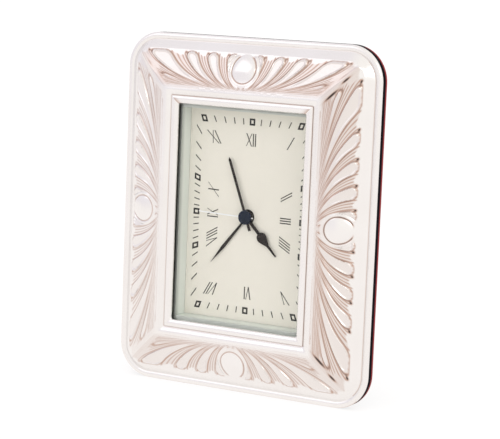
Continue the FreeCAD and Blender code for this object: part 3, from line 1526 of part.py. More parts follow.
def make_clip_screws():
    screws = []
    for x, y in clip_places():
        seat = BOARD_REAR_Z - CLIP_THICKNESS - 2 * SLIDE_GAP
        screws.append(
            screw(
                x,
                y,
                seat,
                CLIP_SCREW_HEAD,
                CLIP_SCREW_HEAD_RADIUS,
                CLIP_SCREW_RADIUS,
                BOARD_REAR_Z - seat + WOOD_SCREW_LENGTH,
            )
        )
    return Part.makeCompound(screws)


def knuckle_pitch():
    return HINGE_WIDTH / KNUCKLE_COUNT


def knuckle_span(index):
    start = -half(HINGE_WIDTH) + index * knuckle_pitch()
    return start + half(KNUCKLE_GAP), start + knuckle_pitch() - half(KNUCKLE_GAP)


def knuckle(index, bore):
    low, high = knuckle_span(index)
    along = Vector(1, 0, 0)
    start = Vector(low, HINGE_Y, HINGE_Z)
    barrel = Part.makeCylinder(KNUCKLE_RADIUS, high - low, start, along)
    return barrel.cut(Part.makeCylinder(bore, high - low, start, along))


def make_hinge_board_leaf():
    # Screwed to the board above the pin, with an arm down to each of its knuckles.
    plate_low = HINGE_Y + KNUCKLE_RADIUS + SEAT_GAP
    plate_top = HINGE_Y + HINGE_LEAF_HEIGHT
    leaf_z = BOARD_REAR_Z - HINGE_LEAF
    leaf = box(-half(HINGE_WIDTH), half(HINGE_WIDTH), plate_low, plate_top, leaf_z, BOARD_REAR_Z)
    bore = Part.makeCylinder(
        HINGE_PIN_RADIUS,
        HINGE_WIDTH,
        Vector(-half(HINGE_WIDTH), HINGE_Y, HINGE_Z),
        Vector(1, 0, 0),
    )
    for index in range(0, KNUCKLE_COUNT, 2):
        low, high = knuckle_span(index)
        arm = box(low, high, HINGE_Y, plate_low, HINGE_Z + HINGE_PIN_RADIUS, BOARD_REAR_Z)
        leaf = leaf.fuse([arm, knuckle(index, HINGE_PIN_RADIUS)])
    for side in (-1, 1):
        x = side * half(WOOD_SCREW_SPACING)
        hole = drum(x, hinge_screw_y(), leaf_z, BOARD_REAR_Z, WOOD_SCREW_RADIUS)
        leaf = leaf.cut(hole)
    return leaf.cut(bore).removeSplitter()


def strut_screw_y():
    return HINGE_Y - half(HINGE_LEAF_HEIGHT + KNUCKLE_RADIUS)


def make_hinge_strut_leaf():
    # Screwed to the strut below the pin; its two stop tabs meet the other leaf.
    front = HINGE_Z + half(HINGE_LEAF)
    rear = HINGE_Z - half(HINGE_LEAF)
    leaf_top = HINGE_Y - KNUCKLE_RADIUS - SEAT_GAP
    leaf = box(
        -half(HINGE_WIDTH), half(HINGE_WIDTH), HINGE_Y - HINGE_LEAF_HEIGHT, leaf_top, rear, front
    )
    for index in range(1, KNUCKLE_COUNT, 2):
        low, high = knuckle_span(index)
        arm = box(low, high, leaf_top, HINGE_Y, rear, front)
        tab = box(low, high, HINGE_Y, HINGE_Y + HINGE_STOP_LENGTH, rear, front)
        leaf = leaf.fuse([arm, tab, knuckle(index, HINGE_PIN_RADIUS + RUN_GAP)])
    bore = Part.makeCylinder(
        HINGE_PIN_RADIUS + RUN_GAP,
        HINGE_WIDTH,
        Vector(-half(HINGE_WIDTH), HINGE_Y, HINGE_Z),
        Vector(1, 0, 0),
    )
    for side in (-1, 1):
        x = side * half(WOOD_SCREW_SPACING)
        leaf = leaf.cut(drum(x, strut_screw_y(), rear, front, WOOD_SCREW_RADIUS))
    return leaf.cut(bore).removeSplitter()


def make_hinge_pin():
    length = HINGE_WIDTH + 2 * HINGE_PIN_OVERHANG
    return Part.makeCylinder(
        HINGE_PIN_RADIUS, length, Vector(-half(length), HINGE_Y, HINGE_Z), Vector(1, 0, 0)
    )


def make_hinge_board_screws():
    screws = []
    for side in (-1, 1):
        screws.append(
            screw(
                side * half(WOOD_SCREW_SPACING),
                hinge_screw_y(),
                BOARD_REAR_Z - HINGE_LEAF,
                WOOD_SCREW_HEAD,
                WOOD_SCREW_HEAD_RADIUS,
                WOOD_SCREW_RADIUS,
                HINGE_LEAF + WOOD_SCREW_LENGTH,
            )
        )
    return Part.makeCompound(screws)


def make_hinge_strut_screws():
    # These go in from the board's side, so each is turned about.
    screws = []
    head_seat = HINGE_Z + half(HINGE_LEAF)
    for side in (-1, 1):
        x = side * half(WOOD_SCREW_SPACING)
        y = strut_screw_y()
        shank = drum(x, y, STRUT_FRONT_Z - WOOD_SCREW_LENGTH, head_seat, WOOD_SCREW_RADIUS)
        head = drum(x, y, head_seat, head_seat + WOOD_SCREW_HEAD, WOOD_SCREW_HEAD_RADIUS)
        screws.append(shank.fuse(head).removeSplitter())
    return Part.makeCompound(screws)


def make_strut():
    top = HINGE_Y - STRUT_TOP_GAP
    foot = -HALF_HEIGHT - OVERRUN
    wide = STRUT_HALF_WIDTH
    narrow = half(STRUT_FOOT_WIDTH)
    shoulder = STRUT_WINDOW_BOTTOM
    points = [
        (-wide, top),
        (wide, top),
        (wide, shoulder),
        (narrow, foot),
        (-narrow, foot),
        (-wide, shoulder),
    ]
    strut = flat_shape(points, STRUT_REAR_Z, STRUT_FRONT_Z)
    upright = [
        e
        for e in strut.Edges
        if e.BoundBox.XLength < SLIDE_GAP
        and e.BoundBox.YLength < SLIDE_GAP
        and e.BoundBox.YMax > foot + SLIDE_GAP
    ]
    strut = strut.makeFillet(STRUT_CORNER, upright)
    window = slab(
        STRUT_WINDOW_HALF_WIDTH,
        half(STRUT_WINDOW_TOP - STRUT_WINDOW_BOTTOM),
        STRUT_WINDOW_CORNER,
        STRUT_REAR_Z,
        STRUT_FRONT_Z,
        0,
        half(STRUT_WINDOW_TOP + STRUT_WINDOW_BOTTOM),
    )
    strut = strut.cut(window)
    for side in (-1, 1):
        x = side * half(WOOD_SCREW_SPACING)
        hole = drum(
            x, strut_screw_y(), STRUT_FRONT_Z - WOOD_SCREW_LENGTH, STRUT_FRONT_Z, WOOD_SCREW_RADIUS
        )
        strut = strut.cut(hole)
    return strut


PANEL_PIECES = {
    "silver_front": make_silver_front,
    "frame_core": make_frame_core,
    "window_glass": make_window_glass,
    "clock_tray": make_clock_tray,
    "dial_plate": make_dial_plate,
    "dial_squares": make_dial_squares,
    "dial_ticks": make_dial_ticks,
    "dial_numerals": make_dial_numerals,
    "alarm_hand": make_alarm_hand,
    "hour_hand": make_hour_hand,
    "minute_hand": make_minute_hand,
    "second_hand": make_second_hand,
    "hub_cap": make_hub_cap,
    "movement_base": make_movement_base,
    "movement_cover": make_movement_cover,
    "train_bridge": make_train_bridge,
    "bridge_screws": make_bridge_screws,
    "case_screws": make_case_screws,
    "alarm_wheel": make_alarm_wheel,
    "hour_wheel": make_hour_wheel,
    "cannon_pinion": make_cannon_pinion,
    "motion_wheel": make_motion_wheel,
    "centre_wheel": make_centre_wheel,
    "third_wheel": make_third_wheel,
    "seconds_wheel": make_seconds_wheel,
    "intermediate_wheel": make_intermediate_wheel,
    "rotor": make_rotor,
    "stator": make_stator,
    "coil": make_coil,
    "circuit_board": make_circuit_board,
    "quartz_crystal": make_quartz_crystal,
    "sounder_disc": make_sounder_disc,
    "battery": make_battery,
    "plus_contact": make_plus_contact,
    "minus_contact": make_minus_contact,
    "battery_door": make_battery_door,
    "time_knob": make_time_knob,
    "time_knob_shaft": make_time_knob_shaft,
    "alarm_knob": make_alarm_knob,
    "alarm_knob_shaft": make_alarm_knob_shaft,
    "alarm_switch": make_alarm_switch,
    "hinge_board_leaf": make_hinge_board_leaf,
    "hinge_pin": make_hinge_pin,
    "hinge_board_screws": make_hinge_board_screws,
    "clip_screws": make_clip_screws,
}
STRUT_PIECES = {
    "hinge_strut_leaf": make_hinge_strut_leaf,
    "hinge_strut_screws": make_hinge_strut_screws,
}
CLIP_NAMES = ["clip_top_right", "clip_top_left", "clip_bottom_left", "clip_bottom_right"]


def save(name, shape):
    shape.exportStep("parts/" + name + ".step")
    box_now = shape.BoundBox
    print(name, len(shape.Solids), shape.isValid(), round(shape.Volume, 3), box_now)


def main():
    os.makedirs("parts", exist_ok=True)
    for name, make in PANEL_PIECES.items():
        save(name, stand(make()))
    save("back_board", above_table(stand(make_back_board())))
    for name, make in STRUT_PIECES.items():
        save(name, stand(make(), STRUT))
    save("strut", above_table(stand(make_strut(), STRUT)))
    for name, (x, y) in zip(CLIP_NAMES, clip_places()):
        save(name, stand(make_turn_clip(x, y)))


main()
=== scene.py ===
import math
from types import SimpleNamespace

import bmesh
import bpy
import numpy as np
from mathutils import Matrix, Vector


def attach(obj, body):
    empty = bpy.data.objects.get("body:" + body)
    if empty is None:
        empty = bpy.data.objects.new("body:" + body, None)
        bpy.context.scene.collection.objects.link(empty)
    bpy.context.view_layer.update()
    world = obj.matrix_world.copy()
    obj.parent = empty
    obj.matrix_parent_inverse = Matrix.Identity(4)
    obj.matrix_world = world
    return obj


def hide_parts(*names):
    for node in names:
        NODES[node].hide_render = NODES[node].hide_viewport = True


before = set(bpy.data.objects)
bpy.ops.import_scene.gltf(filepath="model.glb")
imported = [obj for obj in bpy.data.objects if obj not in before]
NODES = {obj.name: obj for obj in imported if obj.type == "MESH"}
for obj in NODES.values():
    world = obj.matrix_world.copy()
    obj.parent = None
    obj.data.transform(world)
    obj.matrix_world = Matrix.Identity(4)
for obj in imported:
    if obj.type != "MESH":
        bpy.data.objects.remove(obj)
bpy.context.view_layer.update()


# The panel of the frame: where everything is set out
# The frame leans back on its lower edge. Pieces are set out flat on its face, in millimetres
# from the middle of the window, with x to the right, y up and z towards the viewer.

MM = 0.001
RIGHT_ANGLE = math.radians(90.0)
LEAN = math.radians(5.0)
LEAN_PIVOT_Y = -2.2
FACE_SETBACK = 10.6
WINDOW_ABOVE_EDGE = 75.0

PANEL = (
    Matrix.Scale(MM, 4)
    @ Matrix.Translation((0, LEAN_PIVOT_Y, 0))
    @ Matrix.Rotation(-LEAN, 4, "X")
    @ Matrix.Translation((0, -LEAN_PIVOT_Y - FACE_SETBACK, WINDOW_ABOVE_EDGE))
    @ Matrix.Rotation(RIGHT_ANGLE, 4, "X")
)


# Camera
# The viewpoint stands to the right of the clock and a little above it, far enough away for a
# long lens, so that the near and far sides of the frame are almost parallel.

CAMERA_PLACE = Vector((381.49, 111.23, 687.79))
CAMERA_RIGHT = Vector((0.87446, 0.04056, -0.48341))
CAMERA_UP = Vector((-0.10287, 0.98934, -0.10309))
CAMERA_BACK = Vector((0.47407, 0.13987, 0.8693))
FOCAL_PIXELS = 1911.2
PICTURE_WIDTH = 500
SENSOR_WIDTH = 36.0

lens = bpy.data.cameras.new("camera")
lens.sensor_fit = "HORIZONTAL"
lens.sensor_width = SENSOR_WIDTH
lens.lens = SENSOR_WIDTH * FOCAL_PIXELS / PICTURE_WIDTH
camera = bpy.data.objects.new("camera", lens)
camera_axes = Matrix((CAMERA_RIGHT, CAMERA_UP, CAMERA_BACK)).transposed().to_4x4()
camera_pose = PANEL @ Matrix.Translation(CAMERA_PLACE) @ camera_axes
location, rotation, _ = camera_pose.decompose()
camera.matrix_world = Matrix.LocRotScale(location, rotation, None)
bpy.context.scene.collection.objects.link(camera)
bpy.context.scene.camera = camera
bpy.context.scene.view_settings.view_transform = "Standard"


# Studio
# A pale table top under a white tent, as for a catalogue picture. Table and tent are all but white
# to the camera, and a little warm or cool where the silver reflects them.

FLOOR_HALF = 3.0
FLOOR_COLOUR = (0.86, 0.86, 0.86, 1)
FLOOR_SEEN_SHARE = 0.72
FLOOR_SEEN_LEVEL = 1.12
FLOOR_IN_SILVER = (1.08, 1.03, 1.00, 1)


def add_floor():
    shape = bmesh.new()
    bmesh.ops.create_grid(shape, x_segments=1, y_segments=1, size=FLOOR_HALF)
    mesh = bpy.data.meshes.new("studio_floor")
    shape.to_mesh(mesh)
    shape.free()
    floor = bpy.data.objects.new("studio_floor", mesh)
    bpy.context.scene.collection.objects.link(floor)
    material = bpy.data.materials.new("studio_floor_white")
    material.use_nodes = True
    nodes = material.node_tree.nodes
    links = material.node_tree.links
    matt = nodes["Principled BSDF"]
    matt.inputs["Base Color"].default_value = FLOOR_COLOUR
    matt.inputs["Roughness"].default_value = 0.9
    rays = nodes.new("ShaderNodeLightPath")
    white = nodes.new("ShaderNodeEmission")
    white.inputs["Strength"].default_value = FLOOR_SEEN_LEVEL
    to_camera = nodes.new("ShaderNodeMath")
    to_camera.operation = "MULTIPLY"
    to_camera.inputs[1].default_value = FLOOR_SEEN_SHARE
    links.new(rays.outputs["Is Camera Ray"], to_camera.inputs[0])
    seen = nodes.new("ShaderNodeMixShader")
    links.new(to_camera.outputs[0], seen.inputs["Fac"])
    links.new(matt.outputs[0], seen.inputs[1])
    links.new(white.outputs[0], seen.inputs[2])
    # Painted reflection: in glossy and refracted rays the floor glows warm white, though it is no
    # lamp
    warm = nodes.new("ShaderNodeEmission")
    warm.inputs["Color"].default_value = FLOOR_IN_SILVER
    mirrored = nodes.new("ShaderNodeMath")
    mirrored.operation = "MAXIMUM"
    links.new(rays.outputs["Is Glossy Ray"], mirrored.inputs[0])
    links.new(rays.outputs["Is Transmission Ray"], mirrored.inputs[1])
    mix = nodes.new("ShaderNodeMixShader")
    links.new(mirrored.outputs[0], mix.inputs["Fac"])
    links.new(seen.outputs[0], mix.inputs[1])
    links.new(warm.outputs[0], mix.inputs[2])
    links.new(mix.outputs[0], nodes["Material Output"].inputs["Surface"])
    mesh.materials.append(material)


add_floor()


TENT_LEVEL = 1.09
# Lavender on the left and beige on the right, warm and darker below the table's edge: the
# direction where each change begins and ends, and its two colours
TENT_SIDES = ((-0.75, 0.35), (0.88, 0.84, 0.87), (1.0, 0.965, 0.93))
TENT_FOOT = ((-0.3, 0.1), (0.90, 0.83, 0.79), (1, 1, 1))


def ramp_over(nodes, links, value, change):
    """A colour that changes from one to the other between two values."""
    ends, low_colour, high_colour = change
    spread = nodes.new("ShaderNodeMapRange")
    spread.interpolation_type = "SMOOTHSTEP"
    spread.inputs["From Min"].default_value = ends[0]
    spread.inputs["From Max"].default_value = ends[1]
    links.new(value, spread.inputs["Value"])
    colour = nodes.new("ShaderNodeMix")
    colour.data_type = "RGBA"
    colour.inputs["A"].default_value = (*low_colour, 1)
    colour.inputs["B"].default_value = (*high_colour, 1)
    links.new(spread.outputs[0], colour.inputs["Factor"])
    return colour


def white_tent():
    world = bpy.data.worlds.new("white_tent")
    bpy.context.scene.world = world
    world.use_nodes = True
    nodes = world.node_tree.nodes
    links = world.node_tree.links
    inside = nodes["Background"]
    inside.inputs["Strength"].default_value = TENT_LEVEL
    seen = nodes.new("ShaderNodeBackground")
    seen.inputs["Color"].default_value = (1, 1, 1, 1)
    direction = nodes.new("ShaderNodeTexCoord")
    parts = nodes.new("ShaderNodeSeparateXYZ")
    links.new(direction.outputs["Generated"], parts.inputs[0])
    sides = ramp_over(nodes, links, parts.outputs["X"], TENT_SIDES)
    foot = ramp_over(nodes, links, parts.outputs["Z"], TENT_FOOT)
    whole = nodes.new("ShaderNodeMix")
    whole.data_type = "RGBA"
    whole.blend_type = "MULTIPLY"
    whole.inputs["Factor"].default_value = 1.0
    links.new(sides.outputs["Result"], whole.inputs["A"])
    links.new(foot.outputs["Result"], whole.inputs["B"])
    links.new(whole.outputs["Result"], inside.inputs["Color"])
    rays = nodes.new("ShaderNodeLightPath")
    mix = nodes.new("ShaderNodeMixShader")
    links.new(rays.outputs["Is Camera Ray"], mix.inputs["Fac"])
    links.new(inside.outputs[0], mix.inputs[1])
    links.new(seen.outputs[0], mix.inputs[2])
    links.new(mix.outputs[0], nodes["World Output"].inputs["Surface"])


white_tent()


def add_lamp(name, place, size, power):
    light = bpy.data.lights.new(name, "AREA")
    light.shape = "SQUARE"
    light.size = size
    light.energy = power
    lamp = bpy.data.objects.new(name, light)
    target = Vector((0, 0, WINDOW_ABOVE_EDGE * MM))
    facing = (target - Vector(place)).to_track_quat("-Z", "Y")
    lamp.matrix_world = Matrix.LocRotScale(Vector(place), facing, None)
    bpy.context.scene.collection.objects.link(lamp)


add_lamp("key_lamp", (-0.7, -0.9, 0.95), size=0.9, power=1.0)
add_lamp("fill_lamp", (0.9, -0.5, 0.7), size=0.5, power=1.1)


# Embossed silver front
# One sheet of silver, stamped over a steel die and burnished: a rolled rim, a plain cove, a zone
# of acanthus leaves that spring from a round boss on each side, a bead, a groove and the lip.

FRAME_HALF_WIDTH = 60.0
FRAME_HALF_HEIGHT = 75.0
WINDOW_HALF_WIDTH = 30.0
WINDOW_HALF_HEIGHT = 46.0
LIP_HEIGHT = 8.4
SHEET = 0.5
LEAF_START = 6.3
BEAD_FROM_WINDOW = 6.5

# Distance in from the edge, height above the edge and corner radius, across rim and cove
RIM_PROFILE = [
    (0.0, 0.0, 15.0),
    (0.1, 0.3, 14.9),
    (0.25, 0.56, 14.75),
    (0.5, 0.84, 14.5),
    (0.9, 1.06, 14.1),
    (1.4, 1.16, 13.6),
    (1.9, 1.12, 13.1),
    (2.35, 0.98, 12.65),
    (2.62, 0.84, 12.38),
    (2.8, 0.78, 12.2),
    (2.98, 0.86, 11.95),
    (3.3, 1.12, 11.5),
    (3.9, 1.64, 10.7),
    (4.7, 2.4, 9.6),
    (5.5, 3.22, 8.5),
]
# The same across bead, groove and lip, measured from the edge of the window
LIP_PROFILE = [
    (6.1, 9.68, 0.95),
    (5.6, 9.66, 0.9),
    (5.0, 9.52, 0.85),
    (4.4, 9.22, 0.8),
    (3.95, 8.86, 0.7),
    (3.65, 8.56, 0.65),
    (3.5, 8.46, 0.6),
    (3.35, 8.58, 0.6),
    (3.1, 8.82, 0.6),
    (2.7, 9.0, 0.6),
    (2.1, 9.1, 0.6),
    (1.4, 9.04, 0.6),
    (0.8, 8.82, 0.6),
    (0.35, 8.5, 0.6),
    (0.06, 8.15, 0.6),
    (0.0, 7.76, 0.6),
]
RIM_CREASE = 2.8
LIP_GROOVE = 3.5
# The underside's height at the groove, and its height and corner radius at crease and edge
UNDER_GROOVE_HEIGHT = 8.3
UNDER_CREASE = (0.3, 12.2)
UNDER_EDGE = (0.1, 14.5)
LEAF_ROWS = 62
LEAF_HEIGHTS = (4.0, 7.3, 9.6)
LEAF_MIDDLE_SHARE = 0.45
LEAF_CORNERS = (7.5, 3.0, 1.0)
SHORT_SIDE_COLUMNS = 420
LONG_SIDE_COLUMNS = 520

# Where the leaves end on the border line, from the middle of a side outwards
LONG_LEAF_ENDS = [1.5, 10.2, 20.6, 31.6, 43.8, 65.0, 89.0, 118.0, 158.0, 214.0, 300.0, 440.0]
SHORT_LEAF_ENDS = [0.9, 10.6, 20.6, 31.6, 51.5, 71.0, 96.0, 128.0, 170.0, 228.0, 315.0, 450.0]
LEAF_EDGE = 6.9
ROOT_FROM_BEAD = 0.7
DEEPEST_SHARE = 0.9985
CORNER_BEND = 1.22
BOSS_BEND = 0.9
BOSS_BEND_REACH = 15.0
# A leaf's blade between its ribs, as shares of one leaf
BLADE_SHARES = (0.24, 0.82)
TIP_ROUND = 2.9
NARROW_LEAF = 1.2
NARROW_TO_BROAD = 2.2
BLADE_FADE = 0.5
VALLEY_DEPTH = 1.5
MITRE_BAND = 1.9
PROBE = 0.05
LEAST_SLOPE = 0.001

BOSS_SHARE = 0.455
BOSS_RADIUS = 5.4
BOSS_BULGE = 0.86
RING_WIDTH = 1.2
LEAF_FROM_RING = 0.4
LEAF_FADE = 0.6
RING_OPENS_AT = 0.6
RING_OPENS_OVER = 1.2
RING_OPENS_SLANT = 0.12


def smooth_step(value):
    value = np.clip(value, 0.0, 1.0)
    return value * value * (3 - 2 * value)


def bump_at(distance, place, spread):
    return np.exp(-(((distance - place) / spread) ** 2))


def leaf_number(along, inset, root, ends):
    # Every leaf follows a curve that leaves the root line under the boss along the bead,
    # and turns outwards to the border line
    depth = np.clip((inset - LEAF_EDGE) / (root - LEAF_EDGE), 0.0, DEEPEST_SHARE)
    bend = CORNER_BEND + BOSS_BEND * np.exp(-along / BOSS_BEND_REACH)
    reach = along / np.sqrt(1 - depth ** bend)
    return np.interp(reach, ends, range(len(ends)), left=-1.0)


def mitre_slope(half_length):
    """How fast the mitre takes length off a side."""
    if half_length > FRAME_HALF_WIDTH:
        return (half_length - WINDOW_HALF_HEIGHT) / (FRAME_HALF_WIDTH - WINDOW_HALF_WIDTH)
    return (half_length - WINDOW_HALF_WIDTH) / (FRAME_HALF_HEIGHT - WINDOW_HALF_HEIGHT)


def leaf_places(along, inset, half_length, band):
    """How points of one side lie to the leaves, the boss and the mitre."""
    bead = band - BEAD_FROM_WINDOW
    root = bead - ROOT_FROM_BEAD
    ends = LONG_LEAF_ENDS if half_length > FRAME_HALF_WIDTH else SHORT_LEAF_ENDS
    number = leaf_number(along, inset, root, ends)
    across = (leaf_number(along + PROBE, inset, root, ends) - number) / PROBE
    inward = (leaf_number(along, inset + PROBE, root, ends) - number) / PROBE
    width = 1 / np.maximum(np.hypot(across, inward), LEAST_SLOPE)
    share = number - np.floor(number)
    broad = smooth_step((width - NARROW_LEAF) / NARROW_TO_BROAD)

    mitre = (half_length - inset * mitre_slope(half_length) - along) / math.sqrt(2)
    to_end = np.minimum(inset - LEAF_EDGE, mitre - MITRE_BAND)
    near, far = BLADE_SHARES
    to_flank = np.minimum(share - near, far - share) * width
    # Distance in from the blade's own outline, whose corners are round at the tip
    corner = np.hypot(np.maximum(TIP_ROUND - to_flank, 0), np.maximum(TIP_ROUND - to_end, 0))
    edge = np.where(corner > 0, TIP_ROUND - corner, np.minimum(to_flank, to_end))
    # Between two tips the ribs and the tarnish draw back from the border in a small arch
    valley = np.clip(np.mod(share - far, 1.0) / (1 - far + near), 0, 1)

    from_boss = inset - BOSS_SHARE * band
    radius = np.hypot(along, np.where(from_boss < 0, BOSS_BULGE, 1.0) * from_boss)
    around = smooth_step((radius - BOSS_RADIUS - LEAF_FROM_RING - RING_WIDTH) / LEAF_FADE)
    opening = (inset - LEAF_EDGE - RING_OPENS_AT + RING_OPENS_SLANT * along) / RING_OPENS_OVER
    return SimpleNamespace(
        inset=inset,
        band=band,
        bead=bead,
        root=root,
        number=number,
        width=width,
        broad=broad,
        mitre=mitre,
        to_border=inset - LEAF_EDGE,
        to_end=to_end,
        to_corner=(share - far) * width,
        edge=edge,
        on_blade=smooth_step(edge / BLADE_FADE) * broad,
        retreat=VALLEY_DEPTH * np.sin(np.pi * valley) * broad,
        radius=radius,
        around=around,
        on_leaf=around * (number >= 0),
        opening=smooth_step(opening),
    )


BLADE_RISE = 0.42
BLADE_FLANK = 0.6
BLADE_RIM_RISE = 0.42
BLADE_RIM_PLACE = 0.55
BLADE_RIM_SPREAD = 0.34
BOSS_RISE = 1.15
RING_FROM_BOSS = 0.3
RING_RISE = 0.5
MITRE_RIDGE = 0.55
MITRE_RIDGE_SPREAD = 0.9
RIDGE_BORDER_FADE = 3.0
RIDGE_BEAD_FADE = 2.0
# All of it sinks towards the root, by this share
SINK = 0.93
SINK_FROM = 0.35
SINK_OVER = 0.45


def leaf_height(place):
    blade = BLADE_RISE * smooth_step(place.edge / BLADE_FLANK)
    blade = blade + BLADE_RIM_RISE * bump_at(place.edge, BLADE_RIM_PLACE, BLADE_RIM_SPREAD)
    boss = BOSS_RISE * np.sqrt(np.clip(1 - (place.radius / BOSS_RADIUS) ** 2, 0, 1))
    ring = np.clip((place.radius - BOSS_RADIUS - RING_FROM_BOSS) / RING_WIDTH, 0, 1)
    ring = RING_RISE * np.sin(np.pi * ring) * place.opening
    ridge = MITRE_RIDGE * bump_at(place.mitre, 0, MITRE_RIDGE_SPREAD)
    ridge = ridge * smooth_step((place.inset - LEAF_START) / RIDGE_BORDER_FADE)
    ridge = ridge * smooth_step((place.bead - place.inset) / RIDGE_BEAD_FADE)
    depth = (place.inset - LEAF_EDGE) / (place.root - LEAF_EDGE)
    left = 1 - SINK * smooth_step((depth - SINK_FROM) / SINK_OVER)
    return (blade * place.broad * place.on_leaf + ring + ridge + boss) * left


# Painted shade in a crease: the least of it, and what the side's crease shade adds to it
OUTLINE_SHADES = (0.27, 0.2)
BOSS_SHADES = (0.4, 0.5)
OUTLINE_PLACE = -0.05
OUTLINE_SPREAD = 0.24
OUTLINE_PAST_TIP = 0.45
OUTLINE_FADE = 0.4
DOT_FROM_BORDER = 0.5
DOT_SPREAD = 0.3
ROOT_CLEAR = 0.8
BOSS_CREASE_GAP = 0.1
BOSS_CREASE_SPREAD = 0.24
# Painted black shade beside the mitre: how far from it, how wide, at which share of the band, how
# long
MITRE_HOLLOWS = [(1.8, 0.45, 0.62, 2.6), (0.9, 0.35, 0.44, 1.5)]
HOLLOW_SHADE = 1.1
TARNISH_PAST_BORDER = 0.2
TARNISH_PAST_ROOT = 1.2
TARNISH_ROOT_FADE = 3.0
TARNISH_ON_RING = 0.4
BLADE_POLISH = 0.45


def shade_of(shades, crease_shade):
    least, more = shades
    return least + more * crease_shade


# Painted shade along leaf outlines, round the boss and in the mitre hollows, black dots at the
# tips, and tarnish between the leaves
def leaf_shade_and_tarnish(place, crease_shade, tarnish):
    outline = bump_at(place.edge, OUTLINE_PLACE, OUTLINE_SPREAD)
    outline = outline * smooth_step((place.to_end + OUTLINE_PAST_TIP) / OUTLINE_FADE)
    # Painted dark reflection: a black dot at each leaf tip, as dark as the side's crease shade
    dot = (place.to_border - DOT_FROM_BORDER) ** 2 + place.to_corner ** 2
    shade_and_tarnish = shade_of(OUTLINE_SHADES, crease_shade) * outline + crease_shade * np.exp(-dot / DOT_SPREAD)
    shade_and_tarnish = shade_and_tarnish * place.broad * place.on_leaf
    shade_and_tarnish = shade_and_tarnish * smooth_step((place.root - ROOT_CLEAR - place.inset) / ROOT_CLEAR)
    crease = bump_at(place.radius, BOSS_RADIUS + BOSS_CREASE_GAP, BOSS_CREASE_SPREAD)
    shade_and_tarnish = shade_and_tarnish + shade_of(BOSS_SHADES, crease_shade) * crease * place.opening
    for from_mitre, spread, share, length in MITRE_HOLLOWS:
        hollow = bump_at(place.mitre, from_mitre, spread)
        hollow = hollow * bump_at(place.inset, share * place.band, length)
        shade_and_tarnish = shade_and_tarnish + HOLLOW_SHADE * crease_shade ** 3 * hollow
    zone = smooth_step(place.to_border - place.retreat + TARNISH_PAST_BORDER)
    to_root = place.root + TARNISH_PAST_ROOT - place.inset
    zone = zone * smooth_step(to_root / TARNISH_ROOT_FADE)
    zone = zone * (1 - BLADE_POLISH * place.on_blade)
    by_boss = TARNISH_ON_RING + (1 - TARNISH_ON_RING) * place.around
    shade_and_tarnish = shade_and_tarnish + tarnish * zone * by_boss * (place.radius > BOSS_RADIUS)
    return np.clip(shade_and_tarnish, 0, 1)


RIB_PITCH = 0.62
# Each set's fewest and most ribs on a leaf, as powers of two
RIB_SETS = ((1, 3), (0, 2))
RIB_OVERLAP = 1.7
RIBS_PAST_END = 0.15
RIBS_END_FADE = 0.6
RIBS_PAST_ROOT = 0.6
RIBS_WITHOUT_SHADE = 0.6


def leaf_ribs(place, crease_shade):
    """Two sets of rib numbers and depths."""
    ribs = smooth_step((place.to_end - place.retreat + RIBS_PAST_END) / RIBS_END_FADE)
    ribs = ribs * place.on_leaf * (1 - place.on_blade)
    ribs = ribs * smooth_step(place.root + RIBS_PAST_ROOT - place.inset)
    ribs = ribs * (RIBS_WITHOUT_SHADE + (1 - RIBS_WITHOUT_SHADE) * crease_shade)
    # Towards the root the leaves grow narrow, and each has half as many ribs at every octave.
    # Two sets of lines take turns, so that one is full where the other changes its number.
    octave = np.log2(place.width / RIB_PITCH)
    most = max(last for _, last in RIB_SETS)
    marks = []
    for first, last in RIB_SETS:
        count = np.clip(first + 2 * np.round((octave - first) / 2), first, last)
        weight = 1 - np.abs(octave - count)
        if last == most:
            weight = np.where(octave > last, 1.0, weight)
        marks += [place.number * 2 ** count, ribs * smooth_step(RIB_OVERLAP * weight)]
    return marks


def leaf_bed(inset, middle, bead):
    """Height of the curve that carries the leaves: a parabola through its three heights."""
    low, half_way, high = LEAF_HEIGHTS
    to_border, to_middle, to_bead = inset - LEAF_START, inset - middle, inset - bead
    return (
        low * to_middle * to_bead / ((LEAF_START - middle) * (LEAF_START - bead))
        + half_way * to_border * to_bead / ((middle - LEAF_START) * (middle - bead))
        + high * to_border * to_middle / ((bead - LEAF_START) * (bead - middle))
    )


def moulding(band):
    """Inset, height and corner radius of every row across one side, from the edge to the window."""
    bead = band - BEAD_FROM_WINDOW
    middle = LEAF_START + (bead - LEAF_START) * LEAF_MIDDLE_SHARE
    rows = list(RIM_PROFILE)
    for row in range(LEAF_ROWS + 1):
        inset = LEAF_START + (bead - LEAF_START) * row / LEAF_ROWS
        corner = float(np.interp(inset, (LEAF_START, middle, bead), LEAF_CORNERS))
        rows.append((inset, leaf_bed(inset, middle, bead), corner))
    rows += [(band - from_window, height, corner) for from_window, height, corner in LIP_PROFILE]
    return rows


def side_of_loop(half_along, half_out, corner, count):
    """Points along one side of a rounded loop, from mitre to mitre."""
    arc = corner * math.pi / 4
    straight = 2 * (half_along - corner)
    total = straight + 2 * arc
    run = np.linspace(0, total, count)
    first = run < arc
    last = run > arc + straight
    angle_first = math.pi / 4 - run / corner
    angle_last = (run - arc - straight) / corner
    along = run - arc - straight / 2
    out = np.full(count, half_out)
    along = np.where(first, -half_along + corner - corner * np.sin(angle_first), along)
    out = np.where(first, half_out - corner + corner * np.cos(angle_first), out)
    along = np.where(last, half_along - corner + corner * np.sin(angle_last), along)
    out = np.where(last, half_out - corner + corner * np.cos(angle_last), out)
    return along, out


